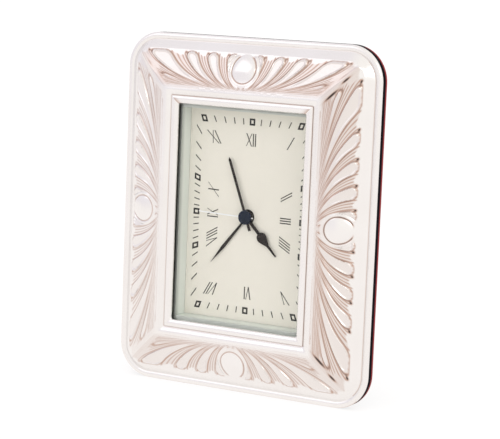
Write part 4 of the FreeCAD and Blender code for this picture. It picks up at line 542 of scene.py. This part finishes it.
def under_side(band):
    """Rows of the underside, one sheet further in, from the lip back to the edge."""
    middle = LEAF_START + (band - BEAD_FROM_WINDOW - LEAF_START) * LEAF_MIDDLE_SHARE
    low, half_way, high = LEAF_HEIGHTS
    first, second, third = LEAF_CORNERS
    _, lip_end, lip_corner = LIP_PROFILE[-1]
    return [
        (band - SHEET, lip_end, lip_corner),
        (band - SHEET, LIP_HEIGHT - SHEET, lip_corner),
        (band - LIP_GROOVE + SHEET, UNDER_GROOVE_HEIGHT, lip_corner),
        (band - BEAD_FROM_WINDOW + SHEET, high - SHEET, third),
        (middle + SHEET, half_way - SHEET, second),
        (LEAF_START + SHEET, low - SHEET, first),
        (RIM_CREASE + SHEET, *UNDER_CREASE),
        (SHEET, *UNDER_EDGE),
        RIM_PROFILE[0],
    ]


RIM_CREASE_SHADE = 0.62
CREASE_SPREAD = 0.13
GROOVE_SHADES = (0.2, 0.75)
GROOVE_SPREAD = 0.12
EDGE_SHADOW_SPREAD = 0.2
STAIN_REACH = 1.6
STAIN_BAND = 2.4


def stamped_side(half_along, half_out, along_rows, out_rows, columns, shade_and_age):
    """Rows of points for one side: along it, out from the middle, height, painted shade with
    tarnish, ribs.
    """
    grid = []
    crease_shade, tarnish, corner_stain, edge_shadow = shade_and_age
    band = FRAME_HALF_WIDTH - WINDOW_HALF_WIDTH
    if half_out > FRAME_HALF_WIDTH:
        band = FRAME_HALF_HEIGHT - WINDOW_HALF_HEIGHT
    top_rows = len(moulding(band))
    for row, (end_row, side_row) in enumerate(zip(along_rows, out_rows)):
        inset_along, height, corner = end_row
        inset_out = side_row[0]
        along, out = side_of_loop(half_along - inset_along, half_out - inset_out, corner, columns)
        nothing = np.zeros(columns)
        shade_and_tarnish, marks = nothing, [nothing] * 4
        raised = np.full(columns, height)
        if LEAF_START < inset_out < band - BEAD_FROM_WINDOW and row < top_rows:
            place = leaf_places(np.abs(along), half_out - out, half_along, band)
            raised = raised + leaf_height(place)
            shade_and_tarnish = leaf_shade_and_tarnish(place, crease_shade, tarnish)
            marks = leaf_ribs(place, crease_shade)
        elif row < top_rows:
            # Painted shade in the rim's crease and the lip's groove, a painted contact shadow along
            # the lower edge, and tarnish stains at the lip's corners
            crease = RIM_CREASE_SHADE * crease_shade ** 2 * bump_at(inset_out, RIM_CREASE, CREASE_SPREAD)
            groove = bump_at(inset_out, band - LIP_GROOVE, GROOVE_SPREAD)
            groove = shade_of(GROOVE_SHADES, crease_shade) * groove
            under = edge_shadow * bump_at(inset_out, 0.0, EDGE_SHADOW_SPREAD)
            stain = bump_at(half_along - inset_along - np.abs(along), 0.0, STAIN_REACH)
            stain = corner_stain * stain * (inset_out > band - STAIN_BAND)
            shade_and_tarnish = crease + groove + under + stain
        grid.append((along, out, raised, shade_and_tarnish, *marks))
    return grid


SILVER_MARKS = ("shade_and_tarnish", "rib", "rib_depth", "coarse_rib", "coarse_rib_depth")
MERGE_DISTANCE = 0.002


def silver_side(upright, shade_and_age):
    """One side of the front, from mitre to mitre, lying at the right of the window."""
    side_rows = moulding(FRAME_HALF_WIDTH - WINDOW_HALF_WIDTH)
    side_rows += under_side(FRAME_HALF_WIDTH - WINDOW_HALF_WIDTH)
    end_rows = moulding(FRAME_HALF_HEIGHT - WINDOW_HALF_HEIGHT)
    end_rows += under_side(FRAME_HALF_HEIGHT - WINDOW_HALF_HEIGHT)
    if upright:
        columns = LONG_SIDE_COLUMNS
        grid = stamped_side(FRAME_HALF_HEIGHT, FRAME_HALF_WIDTH, end_rows, side_rows, columns, shade_and_age)
    else:
        columns = SHORT_SIDE_COLUMNS
        grid = stamped_side(FRAME_HALF_WIDTH, FRAME_HALF_HEIGHT, side_rows, end_rows, columns, shade_and_age)
    sheet = bmesh.new()
    layers = [sheet.verts.layers.float.new(name) for name in SILVER_MARKS]
    panel = bmesh.ops.create_grid(sheet, x_segments=columns - 1, y_segments=len(grid) - 1, size=1)
    for number, vertex in enumerate(panel["verts"]):
        column = number % columns
        along, out, raised, *marks = (values[column] for values in grid[number // columns])
        vertex.co = (out, along, raised - LIP_HEIGHT)
        for layer, mark in zip(layers, marks):
            vertex[layer] = mark
    bmesh.ops.remove_doubles(sheet, verts=sheet.verts, dist=MERGE_DISTANCE)
    mitres = [edge for edge in sheet.edges if edge.is_boundary]
    bmesh.ops.holes_fill(sheet, edges=mitres, sides=0)
    bmesh.ops.recalc_face_normals(sheet, faces=sheet.faces)
    return sheet


SHARP_ANGLE = math.radians(50.0)


def add_side(name, sheet, placement):
    mesh = bpy.data.meshes.new(name)
    sheet.to_mesh(mesh)
    sheet.free()
    mesh.transform(placement)
    for polygon in mesh.polygons:
        polygon.use_smooth = True
    mesh.set_sharp_from_angle(angle=SHARP_ANGLE)
    mesh.materials.append(SILVER)
    side = bpy.data.objects.new(name, mesh)
    bpy.context.scene.collection.objects.link(side)
    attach(side, "clock")
    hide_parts("silver_front")


def start_material(name):
    """A new material, its nodes, its links and its shader."""
    material = bpy.data.materials.new(name)
    material.use_nodes = True
    nodes = material.node_tree.nodes
    return material, nodes, material.node_tree.links, nodes["Principled BSDF"]


# The share of a noise texture's range that its values fill
NOISE_RANGE = (0.35, 0.65)


def build_surface_group():
    """Small differences over a surface: a mottled colour, an uneven gloss and a fine height."""
    group = bpy.data.node_groups.new("uneven_surface", "ShaderNodeTree")
    for name, kind in (
        ("Vector", "NodeSocketVector"),
        ("Colour", "NodeSocketColor"),
        ("Other Colour", "NodeSocketColor"),
        ("Patch Scale", "NodeSocketFloat"),
        ("Fine Scale", "NodeSocketFloat"),
        ("Gloss Low", "NodeSocketFloat"),
        ("Gloss High", "NodeSocketFloat"),
    ):
        group.interface.new_socket(name, in_out="INPUT", socket_type=kind)
    group.interface.new_socket("Colour", in_out="OUTPUT", socket_type="NodeSocketColor")
    group.interface.new_socket("Roughness", in_out="OUTPUT", socket_type="NodeSocketFloat")
    group.interface.new_socket("Height", in_out="OUTPUT", socket_type="NodeSocketFloat")
    nodes = group.nodes
    links = group.links
    given = nodes.new("NodeGroupInput")
    result = nodes.new("NodeGroupOutput")
    patches = nodes.new("ShaderNodeTexNoise")
    patches.inputs["Detail"].default_value = 4.0
    fine = nodes.new("ShaderNodeTexNoise")
    fine.inputs["Detail"].default_value = 3.0
    links.new(given.outputs["Vector"], patches.inputs["Vector"])
    links.new(given.outputs["Vector"], fine.inputs["Vector"])
    links.new(given.outputs["Patch Scale"], patches.inputs["Scale"])
    links.new(given.outputs["Fine Scale"], fine.inputs["Scale"])
    colour = nodes.new("ShaderNodeMix")
    colour.data_type = "RGBA"
    spread = nodes.new("ShaderNodeMapRange")
    spread.inputs["From Min"].default_value, spread.inputs["From Max"].default_value = NOISE_RANGE
    links.new(patches.outputs["Fac"], spread.inputs["Value"])
    links.new(spread.outputs[0], colour.inputs["Factor"])
    links.new(given.outputs["Colour"], colour.inputs["A"])
    links.new(given.outputs["Other Colour"], colour.inputs["B"])
    gloss = nodes.new("ShaderNodeMapRange")
    gloss.inputs["From Min"].default_value, gloss.inputs["From Max"].default_value = NOISE_RANGE
    links.new(fine.outputs["Fac"], gloss.inputs["Value"])
    links.new(given.outputs["Gloss Low"], gloss.inputs["To Min"])
    links.new(given.outputs["Gloss High"], gloss.inputs["To Max"])
    links.new(colour.outputs["Result"], result.inputs["Colour"])
    links.new(gloss.outputs[0], result.inputs["Roughness"])
    links.new(fine.outputs["Fac"], result.inputs["Height"])
    return group


UNEVEN_SURFACE = build_surface_group()


def place_surface_group(nodes, links, colours, scales, gloss, stretch=(1, 1, 1)):
    """The uneven surface with one material's own values, on Object coordinates."""
    coordinates = nodes.new("ShaderNodeTexCoord")
    mapping = nodes.new("ShaderNodeMapping")
    mapping.inputs["Scale"].default_value = stretch
    links.new(coordinates.outputs["Object"], mapping.inputs["Vector"])
    uneven = nodes.new("ShaderNodeGroup")
    uneven.node_tree = UNEVEN_SURFACE
    links.new(mapping.outputs["Vector"], uneven.inputs["Vector"])
    uneven.inputs["Colour"].default_value = (*colours[0], 1)
    uneven.inputs["Other Colour"].default_value = (*colours[1], 1)
    uneven.inputs["Patch Scale"].default_value = scales[0]
    uneven.inputs["Fine Scale"].default_value = scales[1]
    uneven.inputs["Gloss Low"].default_value = gloss[0]
    uneven.inputs["Gloss High"].default_value = gloss[1]
    return uneven


def add_bump(nodes, links, height, shader, distance, strength=1.0):
    bump = nodes.new("ShaderNodeBump")
    bump.inputs["Distance"].default_value = distance
    bump.inputs["Strength"].default_value = strength
    links.new(height, bump.inputs["Height"])
    links.new(bump.outputs["Normal"], shader.inputs["Normal"])


RIB_LINE_REACH = 0.32


def rib_lines(nodes, links, rib):
    """Fine lines that run with the leaves, from the rib numbers kept on the mesh."""
    number = nodes.new("ShaderNodeAttribute")
    number.attribute_name = rib
    depth = nodes.new("ShaderNodeAttribute")
    depth.attribute_name = rib + "_depth"
    wave = nodes.new("ShaderNodeMath")
    wave.operation = "PINGPONG"
    wave.inputs[1].default_value = 0.5
    links.new(number.outputs["Fac"], wave.inputs[0])
    line = nodes.new("ShaderNodeMapRange")
    line.interpolation_type = "SMOOTHSTEP"
    line.inputs["From Min"].default_value = RIB_LINE_REACH
    line.inputs["From Max"].default_value = 0.0
    links.new(wave.outputs[0], line.inputs["Value"])
    drawn = nodes.new("ShaderNodeMath")
    drawn.operation = "MULTIPLY"
    links.new(line.outputs[0], drawn.inputs[0])
    links.new(depth.outputs["Fac"], drawn.inputs[1])
    return drawn.outputs[0]


SILVER_COLOURS = [(0.868, 0.862, 0.858), (0.85, 0.84, 0.832)]
# Tan: tarnish, and painted shade in creases and rib lines. Black: painted shade and dark
# reflections.
TARNISH_AND_SHADE_TAN = (0.53, 0.38, 0.315, 1)
PAINTED_SHADE_BLACK = (0.05, 0.045, 0.045, 1)
# Shade where the tan is full, and where the painted black shade begins
TAN_FULL_AT = 0.6
BLACK_SHADE_FROM = 0.4
RIB_SHADE = 0.75
RIB_CUT = 0.00007
POLISH_SHARE = 0.02


def embossed_silver():
    material, nodes, links, shader = start_material("embossed_silver")
    uneven = place_surface_group(nodes, links, SILVER_COLOURS, (60.0, 900.0), (0.20, 0.27))
    lines = nodes.new("ShaderNodeMath")
    lines.operation = "MAXIMUM"
    links.new(rib_lines(nodes, links, "rib"), lines.inputs[0])
    links.new(rib_lines(nodes, links, "coarse_rib"), lines.inputs[1])
    shade_and_tarnish = nodes.new("ShaderNodeAttribute")
    shade_and_tarnish.attribute_name = "shade_and_tarnish"
    tan = nodes.new("ShaderNodeMix")
    tan.data_type = "RGBA"
    tan.inputs["B"].default_value = TARNISH_AND_SHADE_TAN
    links.new(uneven.outputs["Colour"], tan.inputs["A"])
    pale = nodes.new("ShaderNodeMapRange")
    pale.inputs["From Max"].default_value = TAN_FULL_AT
    links.new(shade_and_tarnish.outputs["Fac"], pale.inputs["Value"])
    faint = nodes.new("ShaderNodeMath")
    faint.operation = "MULTIPLY_ADD"
    faint.use_clamp = True
    faint.inputs[1].default_value = RIB_SHADE
    links.new(lines.outputs[0], faint.inputs[0])
    links.new(pale.outputs[0], faint.inputs[2])
    links.new(faint.outputs[0], tan.inputs["Factor"])
    dark = nodes.new("ShaderNodeMix")
    dark.data_type = "RGBA"
    dark.inputs["B"].default_value = PAINTED_SHADE_BLACK
    links.new(tan.outputs["Result"], dark.inputs["A"])
    deep = nodes.new("ShaderNodeMapRange")
    deep.interpolation_type = "SMOOTHSTEP"
    deep.inputs["From Min"].default_value = BLACK_SHADE_FROM
    links.new(shade_and_tarnish.outputs["Fac"], deep.inputs["Value"])
    links.new(deep.outputs[0], dark.inputs["Factor"])
    links.new(dark.outputs["Result"], shader.inputs["Base Color"])
    links.new(uneven.outputs["Roughness"], shader.inputs["Roughness"])
    shader.inputs["Metallic"].default_value = 1.0
    cut = nodes.new("ShaderNodeMath")
    cut.operation = "MULTIPLY_ADD"
    cut.inputs[1].default_value = -1.0
    polish = nodes.new("ShaderNodeMath")
    polish.operation = "MULTIPLY"
    polish.inputs[1].default_value = POLISH_SHARE
    links.new(uneven.outputs["Height"], polish.inputs[0])
    links.new(lines.outputs[0], cut.inputs[0])
    links.new(polish.outputs[0], cut.inputs[2])
    add_bump(nodes, links, cut.outputs[0], shader, RIB_CUT)
    return material


SILVER = embossed_silver()
# For each side: the strength of the painted shade in creases and at the leaf tips, tarnish between
# the leaves, stains at the corners of the lip, and a painted contact shadow along the lower edge.
SIDE_SHADES_AND_AGES = {
    "right": (0.95, 0.2, 0.0, 0.0),
    "top": (0.6, 0.25, 0.45, 0.0),
    "left": (0.2, 0.06, 0.0, 0.0),
    "bottom": (0.3, 0.14, 0.0, 0.5),
}
for quarter, (side_name, shade_and_age) in enumerate(SIDE_SHADES_AND_AGES.items()):
    add_side(
        "stamped_silver_" + side_name,
        silver_side(quarter % 2 == 0, shade_and_age),
        PANEL @ Matrix.Rotation(RIGHT_ANGLE * quarter, 4, "Z"),
    )


# Filling of the frame
# Ochre resin, poured into the back of the stamping and left rough, so that the thin silver
# isn't dented.

MOULDED_BUMP = 0.00002
RESIN_COLOURS = [(0.55, 0.5, 0.4), (0.5, 0.45, 0.36)]


def plain_finish(
    name, colours, scales, gloss, metallic=0.0, bump=MOULDED_BUMP, specular=0.5, stretch=(1, 1, 1)
):
    """Moulded, turned or plated stuff: a mottled colour, uneven gloss and a fine surface."""
    material, nodes, links, shader = start_material(name)
    uneven = place_surface_group(nodes, links, colours, scales, gloss, stretch)
    links.new(uneven.outputs["Colour"], shader.inputs["Base Color"])
    links.new(uneven.outputs["Roughness"], shader.inputs["Roughness"])
    shader.inputs["Metallic"].default_value = metallic
    shader.inputs["Specular IOR Level"].default_value = specular
    add_bump(nodes, links, uneven.outputs["Height"], shader, bump)
    return material


def dress(material, *names):
    """Gives CAD nodes their finish."""
    for name in names:
        slots = NODES[name].material_slots
        if not slots:
            NODES[name].data.materials.append(material)
        for slot in slots:
            slot.material = material


dress(plain_finish("filler_resin", RESIN_COLOURS, (80, 900), (0.7, 0.8)), "frame_core")


# Lacquered board and strut
# Both are sawn from one veneered panel, stained mahogany red and lacquered. The board's edge was
# painted near black, which has worn off its rear arris, but not along the top.

EDGE_PAINT = (0.0045, 0.0035, 0.0065, 1)
EDGE_PAINT_FROM = -11.5
EDGE_PAINT_TO = -10.5
WORN_RED = (0.32, 0.055, 0.058, 1)
WORN_FROM = -12.78
WORN_TO = -12.4
TOP_PAINT_FROM = 74.0
TOP_PAINT_TO = 74.5
FORWARDS = Vector((0, 0, 1))
UPWARDS = Vector((0, 1, 0))
# Where each tone of the stain stands in the figure of the wood
STAIN_TONES = [
    (0.34, (0.020, 0.005, 0.005, 1)),
    (0.52, (0.075, 0.013, 0.012, 1)),
    (0.68, (0.150, 0.030, 0.022, 1)),
]
PORE_COLOUR = (0.010, 0.004, 0.004, 1)
PORE_DEPTH = 0.00003
GRAIN_STRETCH = (1.0, 1.0, 0.05)
PORE_STRETCH = (1.0, 1.0, 0.02)
BOARD_SPECULAR = 0.004
STRUT_SPECULAR = 0.25


def panel_mask(nodes, links, axis, low, high):
    """Rises from 0 to 1 between two places along an axis of the panel, in millimetres."""
    direction = (PANEL.to_3x3() @ axis).normalized()
    coordinates = nodes.new("ShaderNodeTexCoord")
    distance = nodes.new("ShaderNodeVectorMath")
    distance.operation = "DOT_PRODUCT"
    distance.inputs[1].default_value = direction
    links.new(coordinates.outputs["Object"], distance.inputs[0])
    mask = nodes.new("ShaderNodeMapRange")
    mask.interpolation_type = "SMOOTHSTEP"
    mask.inputs["From Min"].default_value = (PANEL @ (axis * low)).dot(direction)
    mask.inputs["From Max"].default_value = (PANEL @ (axis * high)).dot(direction)
    links.new(distance.outputs["Value"], mask.inputs["Value"])
    return mask.outputs[0]


def fill_ramp(ramp, steps):
    """Gives a new ramp its places and colours."""
    ramp.elements.remove(ramp.elements[1])
    ramp.elements[0].position, ramp.elements[0].color = steps[0]
    for place, colour in steps[1:]:
        ramp.elements.new(place).color = colour


def lacquered_veneer(name, specular, painted_edge):
    material, nodes, links, shader = start_material(name)
    coordinates = nodes.new("ShaderNodeTexCoord")
    stretched = nodes.new("ShaderNodeMapping")
    stretched.inputs["Scale"].default_value = GRAIN_STRETCH
    links.new(coordinates.outputs["Object"], stretched.inputs["Vector"])
    figure = nodes.new("ShaderNodeTexNoise")
    figure.inputs["Scale"].default_value = 300.0
    figure.inputs["Detail"].default_value = 5.0
    figure.inputs["Distortion"].default_value = 0.6
    links.new(stretched.outputs["Vector"], figure.inputs["Vector"])
    wood = nodes.new("ShaderNodeValToRGB")
    fill_ramp(wood.color_ramp, STAIN_TONES)
    links.new(figure.outputs["Fac"], wood.inputs["Fac"])
    drawn = nodes.new("ShaderNodeMapping")
    drawn.inputs["Scale"].default_value = PORE_STRETCH
    links.new(coordinates.outputs["Object"], drawn.inputs["Vector"])
    pores = nodes.new("ShaderNodeTexNoise")
    pores.inputs["Scale"].default_value = 1500.0
    pores.inputs["Detail"].default_value = 2.0
    links.new(drawn.outputs["Vector"], pores.inputs["Vector"])
    pore = nodes.new("ShaderNodeMapRange")
    pore.inputs["From Min"].default_value = 0.60
    pore.inputs["From Max"].default_value = 0.72
    links.new(pores.outputs["Fac"], pore.inputs["Value"])
    grain = nodes.new("ShaderNodeMix")
    grain.data_type = "RGBA"
    grain.inputs["B"].default_value = PORE_COLOUR
    links.new(pore.outputs[0], grain.inputs["Factor"])
    links.new(wood.outputs["Color"], grain.inputs["A"])
    finish = grain
    for colour, axis, low, high in painted_edge:
        coat = nodes.new("ShaderNodeMix")
        coat.data_type = "RGBA"
        coat.inputs["B"].default_value = colour
        links.new(panel_mask(nodes, links, axis, low, high), coat.inputs["Factor"])
        links.new(finish.outputs["Result"], coat.inputs["A"])
        finish = coat
    links.new(finish.outputs["Result"], shader.inputs["Base Color"])
    rubbed = nodes.new("ShaderNodeTexNoise")
    rubbed.inputs["Scale"].default_value = 420.0
    rubbed.inputs["Detail"].default_value = 6.0
    links.new(coordinates.outputs["Object"], rubbed.inputs["Vector"])
    gloss = nodes.new("ShaderNodeMapRange")
    gloss.inputs["To Min"].default_value = 0.22
    gloss.inputs["To Max"].default_value = 0.42
    links.new(rubbed.outputs["Fac"], gloss.inputs["Value"])
    links.new(gloss.outputs[0], shader.inputs["Roughness"])
    shader.inputs["Specular IOR Level"].default_value = specular
    open_pores = nodes.new("ShaderNodeMath")
    open_pores.operation = "MULTIPLY"
    open_pores.inputs[1].default_value = -1.0
    links.new(pore.outputs[0], open_pores.inputs[0])
    add_bump(nodes, links, open_pores.outputs[0], shader, PORE_DEPTH)
    return material


BOARD_EDGE = [
    (WORN_RED, FORWARDS, WORN_FROM, WORN_TO),
    (EDGE_PAINT, FORWARDS, EDGE_PAINT_FROM, EDGE_PAINT_TO),
    (EDGE_PAINT, UPWARDS, TOP_PAINT_FROM, TOP_PAINT_TO),
]
dress(lacquered_veneer("painted_board", BOARD_SPECULAR, BOARD_EDGE), "back_board")
dress(lacquered_veneer("veneered_strut", STRUT_SPECULAR, []), "strut")


# Window glass
# A pane of clear float glass, laid in the tray behind the lip of the frame. The camera's side of
# the room is dark, so the pane mirrors very little.

PANE_TINT = (0.99, 1.0, 0.99, 1)
PANE_SHADE = (0.99, 1.0, 0.985, 1)
PANE_IOR = 1.16


def window_glass():
    material, nodes, links, shader = start_material("window_glass")
    shader.inputs["Base Color"].default_value = PANE_TINT
    shader.inputs["Roughness"].default_value = 0.0
    shader.inputs["IOR"].default_value = PANE_IOR
    shader.inputs["Transmission Weight"].default_value = 1.0
    clear = nodes.new("ShaderNodeBsdfTransparent")
    clear.inputs["Color"].default_value = PANE_SHADE
    rays = nodes.new("ShaderNodeLightPath")
    mix = nodes.new("ShaderNodeMixShader")
    links.new(rays.outputs["Is Shadow Ray"], mix.inputs["Fac"])
    links.new(shader.outputs[0], mix.inputs[1])
    links.new(clear.outputs[0], mix.inputs[2])
    links.new(mix.outputs[0], nodes["Material Output"].inputs["Surface"])
    return material


dress(window_glass(), "window_glass")


# Tray
# The clock's own case, moulded in pale green plastic. Its walls show between glass and dial, and
# the seat of the glass in front of them is black with cement, darkened more by painted shade on the
# left.

TRAY_COLOURS = [(0.81, 0.855, 0.815), (0.795, 0.84, 0.80)]
SEAT_SHADE = (0.05, 0.052, 0.046, 1)
SEAT_FROM = -5.6
SEAT_TO = -2.7
SEAT_LEAST = 0.1
SHADED_SIDE_X = (-0.0304, -0.0286)


def moulded_tray():
    material, nodes, links, shader = start_material("moulded_tray")
    uneven = place_surface_group(nodes, links, TRAY_COLOURS, (60, 1200), (0.35, 0.45))
    seat = nodes.new("ShaderNodeMix")
    seat.data_type = "RGBA"
    seat.inputs["B"].default_value = SEAT_SHADE
    links.new(uneven.outputs["Colour"], seat.inputs["A"])
    coordinates = nodes.new("ShaderNodeTexCoord")
    parts = nodes.new("ShaderNodeSeparateXYZ")
    links.new(coordinates.outputs["Object"], parts.inputs[0])
    # Painted shade: the seat is darkened in full on the left side, which the lip shades, and
    # faintly elsewhere
    shaded = nodes.new("ShaderNodeMapRange")
    shaded.inputs["From Min"].default_value = SHADED_SIDE_X[1]
    shaded.inputs["From Max"].default_value = SHADED_SIDE_X[0]
    shaded.inputs["To Min"].default_value = SEAT_LEAST
    links.new(parts.outputs["X"], shaded.inputs["Value"])
    share = nodes.new("ShaderNodeMath")
    share.operation = "MULTIPLY"
    links.new(shaded.outputs[0], share.inputs[0])
    links.new(panel_mask(nodes, links, FORWARDS, SEAT_FROM, SEAT_TO), share.inputs[1])
    links.new(share.outputs[0], seat.inputs["Factor"])
    links.new(seat.outputs["Result"], shader.inputs["Base Color"])
    links.new(uneven.outputs["Roughness"], shader.inputs["Roughness"])
    add_bump(nodes, links, uneven.outputs["Height"], shader, MOULDED_BUMP)
    return material


dress(moulded_tray(), "clock_tray")


# Dial and print
# A thin metal plate in the back of the tray, painted a warm cream with an eggshell gloss, and its
# marks and numerals screen printed in black.

CREAM = [(0.868, 0.836, 0.768), (0.858, 0.826, 0.755)]
INK = [(0.012, 0.012, 0.011), (0.02, 0.019, 0.018)]
dress(plain_finish("cream_dial", CREAM, (40, 1500), (0.5, 0.6)), "dial_plate")
dress(
    plain_finish("dial_ink", INK, (200, 2500), (0.4, 0.6)),
    "dial_squares",
    "dial_ticks",
    "dial_numerals",
)


# Hands
# Pressed from thin sheet: three stove enamelled black, the second hand white, and over them a
# turned cap in navy enamel.

HAND_BLACK = [(0.02, 0.016, 0.016), (0.028, 0.022, 0.02)]
HAND_WHITE = [(0.97, 0.975, 1.0), (0.94, 0.95, 0.98)]
CAP_NAVY = [(0.012, 0.018, 0.035), (0.014, 0.021, 0.04)]
dress(
    plain_finish("black_hands", HAND_BLACK, (200, 2500), (0.25, 0.4), specular=0.2),
    "minute_hand",
    "hour_hand",
    "alarm_hand",
)
dress(plain_finish("white_hand", HAND_WHITE, (200, 2500), (0.3, 0.4)), "second_hand")
dress(plain_finish("navy_cap", CAP_NAVY, (200, 2500), (0.12, 0.2), specular=0.15), "hub_cap")


# Movement
# A quartz alarm movement behind the dial: two black moulded shells, and grey knobs and slide that
# are turned and pushed from behind, left matt by the mould.

CASE_BLACK = [(0.018, 0.018, 0.019), (0.024, 0.024, 0.025)]
KNOB_GREY = [(0.30, 0.30, 0.31), (0.27, 0.27, 0.28)]
dress(
    plain_finish("black_moulding", CASE_BLACK, (90, 3000), (0.42, 0.55)),
    "movement_base",
    "movement_cover",
    "battery_door",
)
dress(
    plain_finish("grey_moulding", KNOB_GREY, (90, 3000), (0.4, 0.5)),
    "time_knob",
    "alarm_knob",
    "alarm_switch",
    "time_knob_shaft",
    "alarm_knob_shaft",
    "train_bridge",
)


# Gear train
# Small wheels moulded in natural nylon, carried by the movement's base and bridge, and the
# motor's rotor, a sintered magnet.

NYLON = [(0.75, 0.72, 0.64), (0.7, 0.67, 0.6)]
MAGNET = [(0.1, 0.1, 0.1), (0.14, 0.13, 0.13)]
dress(
    plain_finish("wheel_nylon", NYLON, (150, 2500), (0.4, 0.5)),
    "cannon_pinion",
    "motion_wheel",
    "hour_wheel",
    "centre_wheel",
    "third_wheel",
    "seconds_wheel",
    "intermediate_wheel",
    "alarm_wheel",
)
dress(plain_finish("magnet", MAGNET, (200, 3000), (0.4, 0.5)), "rotor")


# Hinge
# A brass butt hinge with pressed knuckles, its leaves brushed lengthwise and held to board and
# strut by round headed screws.

METAL_BUMP = 0.000006
LENGTHWISE = (0.05, 1, 1)
BRASS = [(0.80, 0.56, 0.25), (0.66, 0.43, 0.18)]
dress(
    plain_finish(
        "brushed_brass", BRASS, (400, 2600), (0.2, 0.38), 1.0, METAL_BUMP, stretch=LENGTHWISE
    ),
    "hinge_board_leaf",
    "hinge_strut_leaf",
    "hinge_pin",
    "hinge_board_screws",
    "hinge_strut_screws",
)


# Clips, screws and contacts
# Pressed or turned from spring steel and iron, then zinc or nickel plated: the turn clips and
# their screws, the movement's screws, the cell's contacts, the motor's iron, the crystal's can
# and the sounder.

STEEL = [(0.56, 0.55, 0.54), (0.48, 0.47, 0.46)]
dress(
    plain_finish("plated_steel", STEEL, (120, 2200), (0.25, 0.4), 1.0, METAL_BUMP),
    "case_screws",
    "bridge_screws",
    "clip_screws",
    "clip_top_right",
    "clip_top_left",
    "clip_bottom_left",
    "clip_bottom_right",
    "stator",
    "plus_contact",
    "minus_contact",
    "quartz_crystal",
    "sounder_disc",
)


# Coil and circuit board
# Enamelled copper wire, wound on its bobbin, and a circuit board lacquered green on its solder
# side.

COPPER = [(0.7, 0.32, 0.18), (0.6, 0.26, 0.14)]
TURNS_OF_WIRE = (12, 1, 1)
CIRCUIT_GREEN = [(0.02, 0.16, 0.06), (0.02, 0.12, 0.05)]
dress(
    plain_finish("copper_winding", COPPER, (200, 3000), (0.3, 0.4), 1.0, stretch=TURNS_OF_WIRE),
    "coil",
)
dress(plain_finish("circuit_green", CIRCUIT_GREEN, (200, 3000), (0.3, 0.4)), "circuit_board")


# Cell
# A plain AA cell: a steel can in a printed film sleeve, dark blue with a copper band at the plus
# end, and bare plated steel at both ends.

SLEEVE_BLUE = (0.012, 0.030, 0.10, 1)
SLEEVE_COPPER = (0.46, 0.22, 0.09, 1)
CELL_STEEL = (0.55, 0.54, 0.53, 1)
METAL = (1, 1, 1, 1)
FILM = (0, 0, 0, 1)
# Places along the cell, from its minus end, as shares of its length
CELL_COLOURS = [(0.0, CELL_STEEL), (0.022, SLEEVE_BLUE), (0.72, SLEEVE_COPPER), (0.955, CELL_STEEL)]
CELL_METAL = [(0.0, METAL), (0.022, FILM), (0.955, METAL)]
CELL_ENDS_X = (-0.0246, 0.0259)
FILM_BUMP = 0.00001


def cell_sleeve():
    material, nodes, links, shader = start_material("cell_sleeve")
    coordinates = nodes.new("ShaderNodeTexCoord")
    parts = nodes.new("ShaderNodeSeparateXYZ")
    links.new(coordinates.outputs["Object"], parts.inputs[0])
    along = nodes.new("ShaderNodeMapRange")
    along.inputs["From Min"].default_value = CELL_ENDS_X[0]
    along.inputs["From Max"].default_value = CELL_ENDS_X[1]
    links.new(parts.outputs["X"], along.inputs["Value"])
    zones = nodes.new("ShaderNodeValToRGB")
    zones.color_ramp.interpolation = "CONSTANT"
    bare = nodes.new("ShaderNodeValToRGB")
    bare.color_ramp.interpolation = "CONSTANT"
    fill_ramp(zones.color_ramp, CELL_COLOURS)
    fill_ramp(bare.color_ramp, CELL_METAL)
    links.new(along.outputs[0], zones.inputs["Fac"])
    links.new(along.outputs[0], bare.inputs["Fac"])
    handled = nodes.new("ShaderNodeTexNoise")
    handled.inputs["Scale"].default_value = 260.0
    handled.inputs["Detail"].default_value = 5.0
    links.new(coordinates.outputs["Object"], handled.inputs["Vector"])
    dulled = nodes.new("ShaderNodeMix")
    dulled.data_type = "RGBA"
    dulled.blend_type = "MULTIPLY"
    dulled.inputs["Factor"].default_value = 0.25
    links.new(zones.outputs["Color"], dulled.inputs["A"])
    links.new(handled.outputs["Color"], dulled.inputs["B"])
    links.new(dulled.outputs["Result"], shader.inputs["Base Color"])
    links.new(bare.outputs["Color"], shader.inputs["Metallic"])
    gloss = nodes.new("ShaderNodeMapRange")
    gloss.inputs["To Min"].default_value = 0.15
    gloss.inputs["To Max"].default_value = 0.32
    links.new(handled.outputs["Fac"], gloss.inputs["Value"])
    links.new(gloss.outputs[0], shader.inputs["Roughness"])
    add_bump(nodes, links, handled.outputs["Fac"], shader, FILM_BUMP, strength=0.3)
    return material


dress(cell_sleeve(), "battery")
